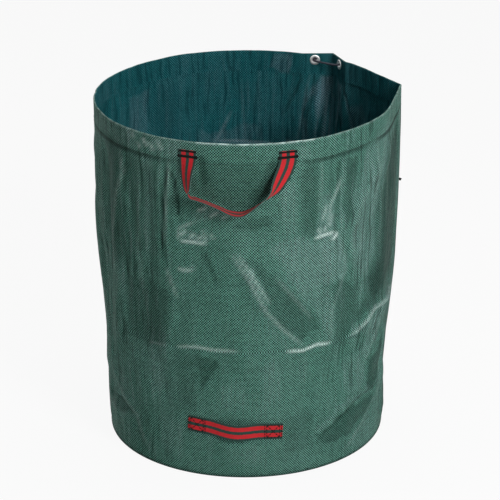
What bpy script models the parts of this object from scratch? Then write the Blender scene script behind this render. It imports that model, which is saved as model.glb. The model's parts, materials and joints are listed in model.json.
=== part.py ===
"""A woven garden bag for leaves, standing open on its round base.

Metres, +Z up. The origin is the centre of the underside of the base. The side
that shows the tipping handle faces -Y. Azimuths are measured from +X to +Y.
"""

import math

import bmesh
import bpy
from mathutils import Matrix, Vector

# Whole bag
BAG_HEIGHT = 0.795
RIM_RADIUS = 0.335
BASE_RADIUS = 0.3165
STRAIGHT_FROM = 0.700
FABRIC = 0.001
GAP = 0.0003
STATION_STEP = math.radians(5.0)

# Wall and base
FOLD_HEIGHT = 0.310
BOTTOM_CURL = 0.004
WALL_LEVEL_STEP = 0.045
BASE_EDGE_CLEARANCE = 0.0006

# Main folds of the wall. Each runs between two points on it, given as azimuth
# in degrees and height, and stands out, or in, by its depth.
DRAPE_HALF_WIDTH = 0.045
DRAPE_END_FADE = 0.060
DRAPES = [
    ((-121.5, 0.735), (-122.0, 0.300), 0.0050),
    ((-134.0, 0.735), (-133.0, 0.340), -0.0040),
    ((-145.0, 0.735), (-150.0, 0.300), 0.0050),
    ((-158.0, 0.735), (-160.0, 0.250), -0.0040),
    ((-170.0, 0.735), (-173.0, 0.180), 0.0045),
    ((-95.0, 0.555), (-70.0, 0.315), 0.0050),
    ((-75.0, 0.560), (-57.0, 0.440), -0.0030),
    ((-52.0, 0.580), (-55.7, 0.300), 0.0045),
    ((-17.5, 0.735), (-45.0, 0.600), 0.0045),
    ((-45.0, 0.600), (-42.0, 0.430), 0.0040),
    ((-33.0, 0.560), (-33.0, 0.390), -0.0040),
    ((-9.0, 0.720), (-25.0, 0.430), 0.0040),
    ((-1.0, 0.336), (-46.0, 0.308), 0.0045),
    ((-4.0, 0.270), (-31.0, 0.196), 0.0040),
    ((-15.0, 0.150), (-58.0, 0.080), 0.0045),
    ((-113.0, 0.262), (-103.0, 0.262), -0.0040),
    ((-166.0, 0.100), (-140.0, 0.060), 0.0040),
    ((28.0, 0.690), (24.0, 0.360), -0.0040),
    ((36.0, 0.600), (46.0, 0.220), 0.0050),
    ((60.0, 0.500), (64.0, 0.160), -0.0040),
    ((76.0, 0.570), (74.0, 0.240), 0.0045),
    ((90.0, 0.520), (88.0, 0.120), -0.0040),
    ((101.0, 0.570), (106.0, 0.240), 0.0050),
    ((119.0, 0.735), (120.0, 0.380), -0.0040),
    ((126.0, 0.420), (132.0, 0.100), 0.0045),
    ((132.0, 0.735), (138.0, 0.440), 0.0045),
    ((148.0, 0.700), (150.0, 0.200), -0.0040),
    ((160.0, 0.735), (164.0, 0.300), 0.0050),
    ((176.0, 0.735), (176.0, 0.400), -0.0035),
]

# Side seam, where the two ends of the wall meet in a sharp upright edge
SEAM_AZIMUTH = math.radians(10.0)
SEAM_REACH = 0.026
SEAM_FULL_FROM = 0.400
SEAM_THREAD_INSET = 0.007
SEAM_KNOT_HEIGHT = 0.567
SEAM_KNOT_SIZE = (0.0040, 0.0040, 0.0065)

# Hem at the mouth and the flat strip that stiffens it
HEM_DEPTH = 0.049
FOLD_ROUNDING = 0.0015
STIFFENER_THICKNESS = 0.0012
STIFFENER_MARGIN = 0.0045
STIFFENER_END_GAP = 0.003

# Pleat that the tie cord draws into the mouth
PLEAT_DEPTH = 0.036
PLEAT_HALF_WIDTH = 0.060
PLEAT_LENGTH = 0.200
PLEAT_TAB_CLEARANCE = 0.0014

# Eyelets and tie cord
EYELET_DROP = 0.0155
EYELET_FROM_FOOT = 0.029
EYELET_HOLE_RADIUS = 0.006
EYELET_BARREL_WALL = 0.0008
EYELET_FLANGE_RADIUS = 0.012
EYELET_FLANGE_THICKNESS = 0.0013
WASHER_THICKNESS = 0.001
CORD_RADIUS = 0.0025
CORD_STAND_IN = 0.0115
CORD_TURN_LENGTH = 0.010
CORD_KNOT_RADIUS = 0.0078

# Webbing
WEBBING_WIDTH = 0.038
WEBBING_THICKNESS = 0.002

# Top handles
FRONT_AZIMUTH = math.radians(-92.8)
BACK_AZIMUTH = math.radians(87.2)
TAB_SPREAD = 0.2114
TAB_HEIGHT = 0.019
TAB_DROP = 0.0187
LOOP_DROP = 0.1105
LOOP_STAND_OFF = 0.005
HINGE_CLEARANCE = 0.0008

# Tipping handle
GRIP_AZIMUTH = math.radians(-95.0)
GRIP_LENGTH = 0.128
GRIP_END_LENGTH = 0.042
GRIP_HEIGHT = 0.1205
GRIP_SLANT = 0.009
GRIP_BOW = 0.012
GRIP_SAG = 0.002

# Stitching
THREAD_RADIUS = 0.0004
STITCH_PLATE = 0.0006
STITCH_INSET = 0.002
STITCH_BAR = 0.0026
STITCH_LINE = 0.0010
HEM_THREAD_RISE = 0.0025

UP = Vector((0.0, 0.0, 1.0))
HEM_BOTTOM = BAG_HEIGHT - HEM_DEPTH
HEM_THICKNESS = 2.0 * FABRIC + STIFFENER_THICKNESS + 2.0 * GAP
TAB_ANGLE = math.asin(0.5 * TAB_SPREAD / RIM_RADIUS)
TAB_CLEAR_ANGLE = math.asin((0.5 * WEBBING_WIDTH + PLEAT_TAB_CLEARANCE) / RIM_RADIUS)
PLEAT_FOOT_ANGLE = math.asin(PLEAT_HALF_WIDTH / RIM_RADIUS)

# The pleat starts just past the back handle's nearer tab
PLEAT_AZIMUTH = BACK_AZIMUTH - TAB_ANGLE - TAB_CLEAR_ANGLE - PLEAT_FOOT_ANGLE

# The hanging loop, from its left tab to its right tab: how far across (of half
# the spread), how far down (of the whole drop), how far its inner edge stands
# off the wall (of the stand-off), and how its width is turned outwards and
# tilted, in degrees.
LOOP_ROUTE = [
    (-1.008, 0.109, 0.40, 30, 0),
    (-1.021, 0.217, 0.44, 42, 0),
    (-1.025, 0.380, 0.60, 54, 0),
    (-1.016, 0.543, 0.88, 63, 0),
    (-0.984, 0.652, 1.00, 74, 0),
    (-0.923, 0.706, 1.16, 84, 4),
    (-0.838, 0.729, 1.14, 90, 9),
    (-0.688, 0.769, 0.96, 90, 10),
    (-0.518, 0.828, 0.76, 90, 10),
    (-0.339, 0.896, 0.72, 90, 8),
    (-0.184, 0.964, 0.72, 90, 4),
    (-0.028, 1.000, 0.70, 90, 0),
    (0.113, 0.991, 0.70, 90, 2),
    (0.264, 0.919, 0.76, 90, 8),
    (0.424, 0.814, 0.90, 92, 14),
    (0.565, 0.715, 1.00, 97, 14),
    (0.692, 0.606, 1.00, 116, 8),
    (0.782, 0.489, 0.90, 134, 3),
    (0.862, 0.353, 0.80, 146, 0),
    (0.933, 0.217, 0.60, 154, 0),
    (0.975, 0.109, 0.50, 159, 0),
]


# Materials

def material(name, colour, roughness, metallic=0.0):
    """Return a Principled material of one colour."""
    made = bpy.data.materials.new(name)
    made.use_nodes = True
    shader = made.node_tree.nodes["Principled BSDF"]
    shader.inputs["Base Color"].default_value = (*colour, 1.0)
    shader.inputs["Roughness"].default_value = roughness
    shader.inputs["Metallic"].default_value = metallic
    made.diffuse_color = (*colour, 1.0)
    return made


def make_materials():
    """Return the bag's materials by the names that the pieces use."""
    return {
        "fabric": material("green_woven_fabric", (0.035, 0.125, 0.095), 0.45),
        "webbing": material("striped_webbing", (0.55, 0.035, 0.045), 0.75),
        "thread": material("black_thread", (0.010, 0.012, 0.012), 0.70),
        "stiffener": material("hem_stiffener_plastic", (0.60, 0.62, 0.60), 0.50),
        "eyelet": material("nickel_plated_eyelet", (0.75, 0.75, 0.74), 0.25, 1.0),
        "cord": material("dark_cord", (0.020, 0.022, 0.040), 0.65),
    }


# Small helpers

def smooth_step(value):
    """Rise from 0 to 1 with level ends."""
    held = min(max(value, 0.0), 1.0)
    return held * held * (3.0 - 2.0 * held)


def radial(azimuth):
    """The direction straight out from the bag's axis."""
    return Vector((math.cos(azimuth), math.sin(azimuth), 0.0))


def tangent(azimuth):
    """The level direction round the bag, towards larger azimuths."""
    return Vector((-math.sin(azimuth), math.cos(azimuth), 0.0))


def link(name, mesh, collection, look, origin=Vector()):
    """Make an object of a mesh in world metres, with its origin at a point."""
    mesh.transform(Matrix.Translation(-origin))
    made = bpy.data.objects.new(name, mesh)
    made.location = origin
    if look is not None:
        mesh.materials.append(look)
    collection.objects.link(made)
    return made


def mesh_from(name, points, faces, smooth_angle=None):
    """Make a mesh of points and faces whose faces all point out."""
    work = bmesh.new()
    corners = [work.verts.new(point) for point in points]
    for face in faces:
        work.faces.new([corners[index] for index in face])
    bmesh.ops.recalc_face_normals(work, faces=work.faces)
    mesh = bpy.data.meshes.new(name)
    work.to_mesh(mesh)
    work.free()
    if smooth_angle is not None:
        mesh.shade_smooth()
        mesh.set_sharp_from_angle(angle=smooth_angle)
    return mesh


def hang_from(child, parent):
    """Parent an object to an unturned empty without moving it."""
    child.parent = parent
    child.matrix_parent_inverse = Matrix.Translation(-parent.location)


def empty_at(name, collection, place, parent=None):
    """Make an empty that stands on a joint's axis."""
    made = bpy.data.objects.new(name, None)
    made.empty_display_size = 0.04
    made.location = place
    collection.objects.link(made)
    if parent is not None:
        hang_from(made, parent)
    return made


# The outline of the wall, seen from above

def wall_radius(height):
    """The round part of the wall at a height."""
    return BASE_RADIUS + (RIM_RADIUS - BASE_RADIUS) * smooth_step(height / STRAIGHT_FROM)


def seam_reach(height):
    """How far the side seam's edge stands out, full from its upper half on."""
    return SEAM_REACH * smooth_step(height / SEAM_FULL_FROM)


def pleat_reach(height):
    """How far the pleat stands out, full in the hem and fading below it."""
    return PLEAT_DEPTH * smooth_step((height - HEM_BOTTOM + PLEAT_LENGTH) / PLEAT_LENGTH)


def drape_reach(azimuth, height):
    """How far the main folds push the wall out, or in, at a point of it."""
    reach = 0.0
    for (start, high), (end, low), depth in DRAPES:
        east = turn_from(azimuth, math.radians(start)) * RIM_RADIUS
        up = height - high
        run_east = turn_from(math.radians(end), math.radians(start)) * RIM_RADIUS
        run_up = low - high
        along = (east * run_east + up * run_up) / (run_east ** 2 + run_up ** 2)
        along = min(max(along, 0.0), 1.0)
        away = math.hypot(east - along * run_east, up - along * run_up)
        reach += depth * smooth_step(1.0 - away / DRAPE_HALF_WIDTH)
    level_ends = smooth_step(height / DRAPE_END_FADE)
    return reach * level_ends * smooth_step((HEM_BOTTOM - height) / DRAPE_END_FADE)


def straight_side(azimuth, first, second):
    """The radius where a ray meets the line between two polar points."""
    (angle_a, radius_a), (angle_b, radius_b) = first, second
    spread = math.sin(angle_b - angle_a)
    near = math.sin(angle_b - azimuth) / radius_a
    far = math.sin(azimuth - angle_a) / radius_b
    return spread / (near + far)


def turn_from(azimuth, other):
    """The signed angle from one azimuth to another, within half a turn."""
    return (azimuth - other + math.pi) % (2.0 * math.pi) - math.pi


def outline_radius(azimuth, height):
    """The wall's radius with its folds, the seam's edge and the pleat on it."""
    base = wall_radius(height)
    drape = drape_reach(azimuth, height)
    reach = seam_reach(height)
    seam_foot = math.acos(base / (base + reach))
    corners = [(SEAM_AZIMUTH, reach, seam_foot)]
    corners.append((PLEAT_AZIMUTH, pleat_reach(height), PLEAT_FOOT_ANGLE))
    for tip, depth, foot in corners:
        away = abs(turn_from(azimuth, tip))
        if depth > 0.0 and away < foot:
            return straight_side(away, (0.0, base + depth), (foot, base)) + drape
    return base + drape


def station_azimuths():
    """Azimuths round the bag, with one at each tip and foot of a corner."""
    special = [SEAM_AZIMUTH, PLEAT_AZIMUTH]
    special += [PLEAT_AZIMUTH - PLEAT_FOOT_ANGLE, PLEAT_AZIMUTH + PLEAT_FOOT_ANGLE]
    count = round(2.0 * math.pi / STATION_STEP)
    regular = [2.0 * math.pi * index / count for index in range(count)]
    apart = 0.25 * STATION_STEP
    kept = [a for a in regular if all(abs(turn_from(a, s)) > apart for s in special)]
    return sorted(angle % (2.0 * math.pi) for angle in kept + special)


STATIONS = station_azimuths()


def moved_in(points, distance):
    """Move a closed outline inwards by a distance, with mitred corners."""
    moved = []
    for index, point in enumerate(points):
        before = (point - points[index - 1]).normalized()
        after = (points[(index + 1) % len(points)] - point).normalized()
        normal_a = Vector((-before.y, before.x))
        normal_b = Vector((-after.y, after.x))
        mitre = (normal_a + normal_b) / (1.0 + normal_a.dot(normal_b))
        moved.append(point + mitre * distance)
    return moved


def outline(height, inset=0.0):
    """The wall's outline at a height as flat points, moved in by an inset."""
    points = []
    for azimuth in STATIONS:
        points.append(radial(azimuth).xy * outline_radius(azimuth, height))
    return moved_in(points, inset)


def ring_body(name, profile, smooth_angle=math.radians(35.0), triangles=False):
    """A closed ring whose section is a loop of (inset, height) points.

    With triangles, all faces are split the same way, so that the outer and the
    inner side of a folded wall stay one thickness apart.
    """
    rows = []
    for inset, height in profile:
        rows.append([(*point, height) for point in outline(height, inset)])
    count = len(STATIONS)
    points = [point for row in rows for point in row]
    faces = []
    for j in range(len(rows)):
        next_row = (j + 1) % len(rows)
        for i in range(count):
            k = (i + 1) % count
            a, b = j * count + i, j * count + k
            c, d = next_row * count + k, next_row * count + i
            if not triangles:
                faces.append((a, b, c, d))
            elif profile[next_row][1] >= profile[j][1]:
                faces += [(a, b, c), (a, c, d)]
            else:
                faces += [(a, b, d), (b, c, d)]
    return mesh_from(name, points, faces, smooth_angle)


def levels_between(low, high):
    """Heights from low to high about one level step apart."""
    count = max(1, round((high - low) / WALL_LEVEL_STEP))
    return [low + (high - low) * index / count for index in range(count + 1)]


# Wall and base

def make_lower_wall(collection, look):
    """The wall up to its packing fold, with its foot curled in to the base."""
    curl = BOTTOM_CURL
    outer = [(curl, 0.0), (0.3 * curl, 0.3 * curl), (0.0, curl)]
    inner_foot = [(FABRIC, curl + FABRIC), (curl, FABRIC)]
    levels = levels_between(curl, FOLD_HEIGHT)
    outer += [(0.0, level) for level in levels[1:]]
    inner = [(FABRIC, level) for level in reversed(levels[1:])]
    mesh = ring_body("lower_wall", outer + inner + inner_foot, triangles=True)
    return link("lower_wall", mesh, collection, look)


def make_upper_wall(collection, look):
    """The wall from the packing fold to the hem, which crumples."""
    levels = levels_between(FOLD_HEIGHT + GAP, HEM_BOTTOM - GAP)
    outer = [(0.0, level) for level in levels]
    inner = [(FABRIC, level) for level in reversed(levels)]
    mesh = ring_body("upper_wall", outer + inner, triangles=True)
    return link("upper_wall", mesh, collection, look)


def make_base_panel(name, low, collection, look):
    """One of the two round panels of the base."""
    work = bmesh.new()
    radius = BASE_RADIUS - BOTTOM_CURL - BASE_EDGE_CLEARANCE
    sides = round(2.0 * math.pi / STATION_STEP)
    place = Matrix.Translation((0.0, 0.0, low + 0.5 * FABRIC))
    bmesh.ops.create_cone(work, cap_ends=True, cap_tris=False, segments=sides,
                          radius1=radius, radius2=radius, depth=FABRIC, matrix=place)
    mesh = bpy.data.meshes.new(name)
    work.to_mesh(mesh)
    work.free()
    return link(name, mesh, collection, look)


# Thread, cord and other round runs

def tube_along(name, points, radius, collection, look, closed=False, resolution=0):
    """A round run along points, as a curve with filled ends."""
    curve = bpy.data.curves.new(name, "CURVE")
    curve.dimensions = "3D"
    curve.bevel_depth = radius
    curve.bevel_resolution = resolution
    curve.use_fill_caps = not closed
    spline = curve.splines.new("POLY")
    spline.points.add(len(points) - 1)
    for slot, point in zip(spline.points, points):
        slot.co = (*point, 1.0)
    spline.use_cyclic_u = closed
    curve.materials.append(look)
    made = bpy.data.objects.new(name, curve)
    collection.objects.link(made)
    return made


def make_hem_thread(collection, look):
    """The line of stitching that closes the hem."""
    height = HEM_BOTTOM + HEM_THREAD_RISE
    run = [(*point, height) for point in outline(height, -GAP - THREAD_RADIUS)]
    return tube_along("hem_thread", run, THREAD_RADIUS, collection, look, closed=True)


def make_base_thread(collection, look):
    """The stitching that joins the wall's curled foot to the base."""
    height = 2.0 * FABRIC + GAP + 1.5 * THREAD_RADIUS
    inset = BOTTOM_CURL - THREAD_RADIUS
    run = [(*point, height) for point in outline(height, inset)]
    return tube_along("base_thread", run, THREAD_RADIUS, collection, look, closed=True)


def seam_thread_point(height):
    """A point just outside the seam's back flank."""
    clear = GAP + THREAD_RADIUS
    tip = SEAM_AZIMUTH + SEAM_THREAD_INSET / (wall_radius(height) + seam_reach(height))
    out = outline_radius(tip, height) + 1.2 * clear
    return radial(tip) * out + UP * height


def make_seam_threads(collection, look):
    """The upright stitching of the side seam, below and above the fold."""
    low = [seam_thread_point(h) for h in levels_between(2.0 * BOTTOM_CURL, FOLD_HEIGHT)]
    tube_along("lower_seam_thread", low, THREAD_RADIUS, collection, look)
    high_levels = levels_between(FOLD_HEIGHT + 2.0 * GAP, HEM_BOTTOM - GAP)
    high = [seam_thread_point(h) for h in high_levels]
    tube_along("upper_seam_thread", high, THREAD_RADIUS, collection, look)


def make_seam_knot(collection, look):
    """The knot where the side seam's thread is tied off."""
    size = SEAM_KNOT_SIZE
    height = SEAM_KNOT_HEIGHT
    out = outline_radius(SEAM_AZIMUTH, height) + GAP + size[0]
    centre = radial(SEAM_AZIMUTH) * out + UP * height
    work = bmesh.new()
    bmesh.ops.create_uvsphere(work, u_segments=10, v_segments=8, radius=1.0)
    shape = Matrix.Diagonal((*size, 1.0))
    bmesh.ops.transform(work, matrix=Matrix.Translation(centre) @ shape, verts=work.verts)
    mesh = bpy.data.meshes.new("seam_knot")
    work.to_mesh(mesh)
    work.free()
    mesh.shade_smooth()
    return link("seam_knot", mesh, collection, look)


# Hem and stiffener

def make_hem(collection, look):
    """The hem: the top of the fabric folded in and down round the strip."""
    top = BAG_HEIGHT
    low = HEM_BOTTOM
    deep = HEM_THICKNESS
    soft = FOLD_ROUNDING
    channel_top = top - soft - FABRIC
    profile = [
        (0.0, low), (0.0, top - soft), (0.4 * soft, top), (deep - 0.4 * soft, top),
        (deep, top - soft), (deep, low), (deep - FABRIC, low),
        (deep - FABRIC, channel_top), (FABRIC, channel_top), (FABRIC, low),
    ]
    return link("rim_hem", ring_body("rim_hem", profile), collection, look)


def make_stiffener(collection, look):
    """The flat plastic strip in the hem, open at the side seam."""
    low = HEM_BOTTOM + STIFFENER_MARGIN
    high = BAG_HEIGHT - FOLD_ROUNDING - FABRIC - GAP
    near = FABRIC + GAP
    profile = [(near, low), (near, high)]
    profile += [(near + STIFFENER_THICKNESS, high), (near + STIFFENER_THICKNESS, low)]
    tip = min(range(len(STATIONS)), key=lambda i: abs(turn_from(STATIONS[i], SEAM_AZIMUTH)))
    points = []
    for inset, height in profile:
        flat = outline(height, inset)
        run = flat[tip:] + flat[:tip + 1]
        run[0] = run[0] + (run[1] - run[0]).normalized() * STIFFENER_END_GAP
        run[-1] = run[-1] + (run[-2] - run[-1]).normalized() * STIFFENER_END_GAP
        points += [(*point, height) for point in run]
    count = len(STATIONS) + 1
    faces = [tuple(j * count for j in range(4)), tuple(j * count + count - 1 for j in range(4))]
    for j in range(4):
        k = (j + 1) % 4
        for i in range(count - 1):
            faces.append((j * count + i, j * count + i + 1, k * count + i + 1, k * count + i))
    mesh = mesh_from("hem_stiffener", points, faces, math.radians(35.0))
    return link("hem_stiffener", mesh, collection, look)


# Eyelets and tie cord

def eyelet_frame(side):
    """An eyelet's centre on the hem's inner face and its three directions.

    side is 1 for the eyelet at the larger azimuth and -1 for the other. The
    directions run along the hem towards the pleat's tip, up, and into the bag.
    """
    foot_angle = PLEAT_AZIMUTH + side * PLEAT_FOOT_ANGLE
    foot = radial(foot_angle) * RIM_RADIUS
    tip = radial(PLEAT_AZIMUTH) * (RIM_RADIUS + PLEAT_DEPTH)
    along = (tip - foot).normalized()
    inward = along.cross(UP) * side
    outer = foot + along * EYELET_FROM_FOOT + UP * (BAG_HEIGHT - EYELET_DROP)
    centre = outer + inward * HEM_THICKNESS
    return centre, along, inward


def eyelet_matrix(side):
    """The placing of a turned piece whose axis points into the bag."""
    centre, along, inward = eyelet_frame(side)
    across = inward.cross(along)
    turned = Matrix((along, across, inward)).transposed().to_4x4()
    return Matrix.Translation(centre) @ turned


def turned_body(name, profile, matrix, collection, look, steps=24):
    """A turned ring: a closed loop of (radius, height) points round local Z."""
    mesh = bpy.data.meshes.new(name)
    points = [(radius, 0.0, height) for radius, height in profile]
    edges = [(index, (index + 1) % len(points)) for index in range(len(points))]
    mesh.from_pydata(points, edges, [])
    mesh.materials.append(look)
    made = bpy.data.objects.new(name, mesh)
    made.matrix_world = matrix
    collection.objects.link(made)
    screw = made.modifiers.new("turn", "SCREW")
    screw.steps = steps
    screw.render_steps = steps
    screw.merge_threshold = 0.00001
    screw.use_normal_calculate = True
    screw.use_normal_flip = True
    return made


def make_eyelet(side, word, collection, look):
    """An eyelet with its barrel through the hem, and its washer outside."""
    hole = EYELET_HOLE_RADIUS
    barrel = hole + EYELET_BARREL_WALL
    flange = EYELET_FLANGE_RADIUS
    thick = EYELET_FLANGE_THICKNESS
    back = -HEM_THICKNESS - GAP - WASHER_THICKNESS
    profile = [
        (barrel, back), (barrel, GAP), (flange, GAP), (flange - 0.3 * thick, GAP + 0.7 * thick),
        (0.5 * (flange + hole), GAP + thick), (hole + 0.3 * thick, GAP + 0.8 * thick),
        (hole, 0.0), (hole, back),
    ]
    place = eyelet_matrix(side)
    ring = turned_body(f"eyelet_{word}", profile, place, collection, look)
    inner = barrel + GAP
    ring_back = [
        (inner, back), (inner, back + WASHER_THICKNESS),
        (flange, back + WASHER_THICKNESS), (flange, back),
    ]
    washer = turned_body(f"eyelet_washer_{word}", ring_back, place, collection, look)
    return ring, washer


def make_hole_cutter(side, word, collection):
    """A cylinder that cuts an eyelet's hole through the hem and the strip."""
    work = bmesh.new()
    radius = EYELET_HOLE_RADIUS + EYELET_BARREL_WALL + GAP
    depth = 4.0 * HEM_THICKNESS
    shift = Matrix.Translation((0.0, 0.0, -0.5 * HEM_THICKNESS))
    bmesh.ops.create_cone(work, cap_ends=True, cap_tris=False, segments=24,
                          radius1=radius, radius2=radius, depth=depth,
                          matrix=eyelet_matrix(side) @ shift)
    mesh = bpy.data.meshes.new(f"hole_{word}")
    work.to_mesh(mesh)
    work.free()
    made = link(f"hole_{word}", mesh, collection, None)
    made.hide_render = True
    made.display_type = "WIRE"
    return made


def cut_with(target, cutters):
    """Cut each cutter out of the target."""
    for cutter in cutters:
        cut = target.modifiers.new(cutter.name, "BOOLEAN")
        cut.operation = "DIFFERENCE"
        cut.solver = "EXACT"
        cut.object = cutter


def knot_place(side):
    """The middle of a stopper knot, seated in its eyelet's hole from outside."""
    centre, _, inward = eyelet_frame(side)
    seat = math.sqrt((CORD_KNOT_RADIUS + GAP) ** 2 - EYELET_HOLE_RADIUS ** 2)
    return centre - inward * (HEM_THICKNESS + GAP + WASHER_THICKNESS + seat)


def cord_half(side):
    """The cord's points from its knot to where it runs straight across."""
    centre, _, inward = eyelet_frame(side)
    across = tangent(PLEAT_AZIMUTH) * -side
    turn = CORD_TURN_LENGTH
    return [
        knot_place(side) + inward * (CORD_KNOT_RADIUS + GAP),
        centre,
        centre + inward * 0.4 * CORD_STAND_IN,
        centre + inward * 0.75 * CORD_STAND_IN + across * 0.25 * turn,
        centre + inward * 0.95 * CORD_STAND_IN + across * 0.7 * turn,
        centre + inward * CORD_STAND_IN + across * 1.4 * turn,
    ]


def catmull_rom(points, pieces):
    """A smooth run through points, with so many pieces between each pair."""
    padded = [points[0] * 2.0 - points[1], *points, points[-1] * 2.0 - points[-2]]
    run = []
    for index in range(len(points) - 1):
        a, b, c, d = padded[index:index + 4]
        for piece in range(pieces):
            t = piece / pieces
            run.append(0.5 * ((2.0 * b) + (c - a) * t + (2.0 * a - 5.0 * b + 4.0 * c - d) * t * t
                              + (3.0 * b - a - 3.0 * c + d) * t * t * t))
    run.append(points[-1])
    return run


def make_tie_cord(collection, cord_look):
    """The cord through both eyelets, and its stopper knots outside."""
    left = cord_half(1)
    right = cord_half(-1)
    run = catmull_rom(left + right[::-1], 2)
    pieces = [tube_along("tie_cord", run, CORD_RADIUS, collection, cord_look, resolution=2)]
    for side, word in ((1, "left"), (-1, "right")):
        place = Matrix.Translation(knot_place(side))
        work = bmesh.new()
        bmesh.ops.create_uvsphere(work, u_segments=14, v_segments=10,
                                  radius=CORD_KNOT_RADIUS, matrix=place)
        mesh = bpy.data.meshes.new(f"cord_knot_{word}")
        work.to_mesh(mesh)
        work.free()
        mesh.shade_smooth()
        pieces.append(link(f"cord_knot_{word}", mesh, collection, cord_look))
    return pieces


# Webbing

def strap_mesh(name, sections):
    """A flat strap through sections of (centre, half width, half thickness)."""
    points = []
    for centre, wide, thick in sections:
        points += [centre - wide - thick, centre + wide - thick]
        points += [centre + wide + thick, centre - wide + thick]
    last = 4 * (len(sections) - 1)
    faces = [(0, 1, 2, 3), (last, last + 1, last + 2, last + 3)]
    for index in range(len(sections) - 1):
        for corner in range(4):
            a = 4 * index + corner
            b = 4 * index + (corner + 1) % 4
            faces.append((a, b, b + 4, a + 4))
    return mesh_from(name, points, faces, math.radians(50.0))


def hinge_out():
    """How far out from the bag's axis a top handle's hinge line lies."""
    outer_face = RIM_RADIUS + GAP + WEBBING_THICKNESS
    edge = 0.5 * WEBBING_WIDTH * math.sin(TAB_ANGLE)
    return outer_face * math.cos(TAB_ANGLE) + edge + HINGE_CLEARANCE


TAB_TOP = BAG_HEIGHT - TAB_DROP
TAB_BOTTOM = TAB_TOP - TAB_HEIGHT
HINGE_HEIGHT = TAB_BOTTOM - 0.5 * GAP


def handle_hinge_place(azimuth):
    """The middle of a top handle's hinge line."""
    return radial(azimuth) * hinge_out() + UP * HINGE_HEIGHT


def loop_sections(azimuth):
    """The hanging loop's sections, in world metres."""
    out = radial(azimuth)
    across = tangent(azimuth)
    half = 0.5 * WEBBING_WIDTH
    middle_radius = RIM_RADIUS + GAP + 0.5 * WEBBING_THICKNESS
    half_spread = middle_radius * math.sin(TAB_ANGLE)
    end_out = middle_radius * math.cos(TAB_ANGLE)
    top = HINGE_HEIGHT - 0.5 * GAP
    turn = math.degrees(TAB_ANGLE)
    centres = [out * end_out - across * half_spread + UP * top]
    turns = [(turn, 0.0)]
    for side, down, clear, spin, tilt in LOOP_ROUTE:
        sideways = side * half_spread
        lean = math.sin(math.radians(spin)) * math.cos(math.radians(tilt))
        edge = sideways - half * math.cos(math.radians(spin))
        wall = math.sqrt(RIM_RADIUS ** 2 - edge ** 2)
        away = wall + clear * LOOP_STAND_OFF + 0.5 * WEBBING_THICKNESS + half * lean
        centres.append(out * away + across * sideways + UP * (top - down * LOOP_DROP))
        turns.append((spin, tilt))
    centres.append(out * end_out + across * half_spread + UP * top)
    turns.append((180.0 - turn, 0.0))
    run = catmull_rom(centres, 2)
    angles = catmull_rom([Vector(pair) for pair in turns], 2)
    sections = []
    for index, centre in enumerate(run):
        spin, tilt = (math.radians(value) for value in angles[index])
        wide = (across * math.cos(spin) + out * math.sin(spin)) * math.cos(tilt)
        wide += UP * math.sin(tilt)
        if index == 0:
            ahead = -UP
        elif index == len(run) - 1:
            ahead = UP
        else:
            ahead = (run[index + 1] - run[index - 1]).normalized()
        wide = (wide - ahead * wide.dot(ahead)).normalized()
        thick = wide.cross(ahead).normalized()
        sections.append((centre, wide * half, thick * 0.5 * WEBBING_THICKNESS))
    return sections


def make_tab(name, azimuth, collection, look):
    """The end of a handle that is sewn flat to the hem."""
    work = bmesh.new()
    bmesh.ops.create_cube(work, size=1.0)
    size = Matrix.Diagonal((WEBBING_THICKNESS, WEBBING_WIDTH, TAB_HEIGHT, 1.0))
    reach = RIM_RADIUS + GAP + 0.5 * WEBBING_THICKNESS
    height = 0.5 * (TAB_TOP + TAB_BOTTOM)
    place = Matrix.Translation(radial(azimuth) * reach + UP * height)
    matrix = place @ Matrix.Rotation(azimuth, 4, "Z") @ size
    bmesh.ops.transform(work, matrix=matrix, verts=work.verts)
    mesh = bpy.data.meshes.new(name)
    work.to_mesh(mesh)
    work.free()
    return link(name, mesh, collection, look)


def stitch_plate(name, outlines, azimuth, radius, height, collection, look):
    """Stitching as a thin flat outline with windows, facing straight out.

    Each outline is a list of (sideways, up) points; the first is the edge.
    """
    curve = bpy.data.curves.new(name, "CURVE")
    curve.dimensions = "2D"
    curve.fill_mode = "BOTH"
    curve.extrude = 0.5 * STITCH_PLATE
    for flat in outlines:
        spline = curve.splines.new("POLY")
        spline.points.add(len(flat) - 1)
        spline.use_cyclic_u = True
        for slot, (sideways, up) in zip(spline.points, flat):
            slot.co = (sideways, up, 0.0, 1.0)
    curve.materials.append(look)
    made = bpy.data.objects.new(name, curve)
    collection.objects.link(made)
    turned = Matrix((tangent(azimuth), UP, radial(azimuth))).transposed().to_4x4()
    made.matrix_world = Matrix.Translation(radial(azimuth) * radius + UP * height) @ turned
    return made


def rectangle(left, right, low, high):
    """The corners of a rectangle."""
    return [(left, low), (right, low), (right, high), (left, high)]


def tab_stitches():
    """Two bars joined by thin sides: the stitching of a top handle's tab."""
    wide = 0.5 * WEBBING_WIDTH - STITCH_INSET
    tall = 0.5 * TAB_HEIGHT - 0.25 * STITCH_INSET
    edge = rectangle(-wide, wide, -tall, tall)
    window = rectangle(STITCH_LINE - wide, wide - STITCH_LINE, STITCH_BAR - tall, tall - STITCH_BAR)
    return [edge, window[::-1]]


def crossed_box():
    """A box with its two diagonals: the stitching of the tipping handle."""
    wide = 0.35 * GRIP_END_LENGTH
    tall = 0.5 * WEBBING_WIDTH - 2.0 * STITCH_INSET
    line = STITCH_LINE
    slope_x = 1.2 * line * wide / tall
    slope_y = 1.2 * line * tall / wide
    side = wide - line
    rise = tall - line
    windows = [
        [(side, slope_y - rise), (side, rise - slope_y), (slope_x, 0.0)],
        [(-side, rise - slope_y), (-side, slope_y - rise), (-slope_x, 0.0)],
        [(slope_x - side, rise), (side - slope_x, rise), (0.0, slope_y)],
        [(side - slope_x, -rise), (slope_x - side, -rise), (0.0, -slope_y)],
    ]
    return [rectangle(-wide, wide, -tall, tall), *windows]


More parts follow.
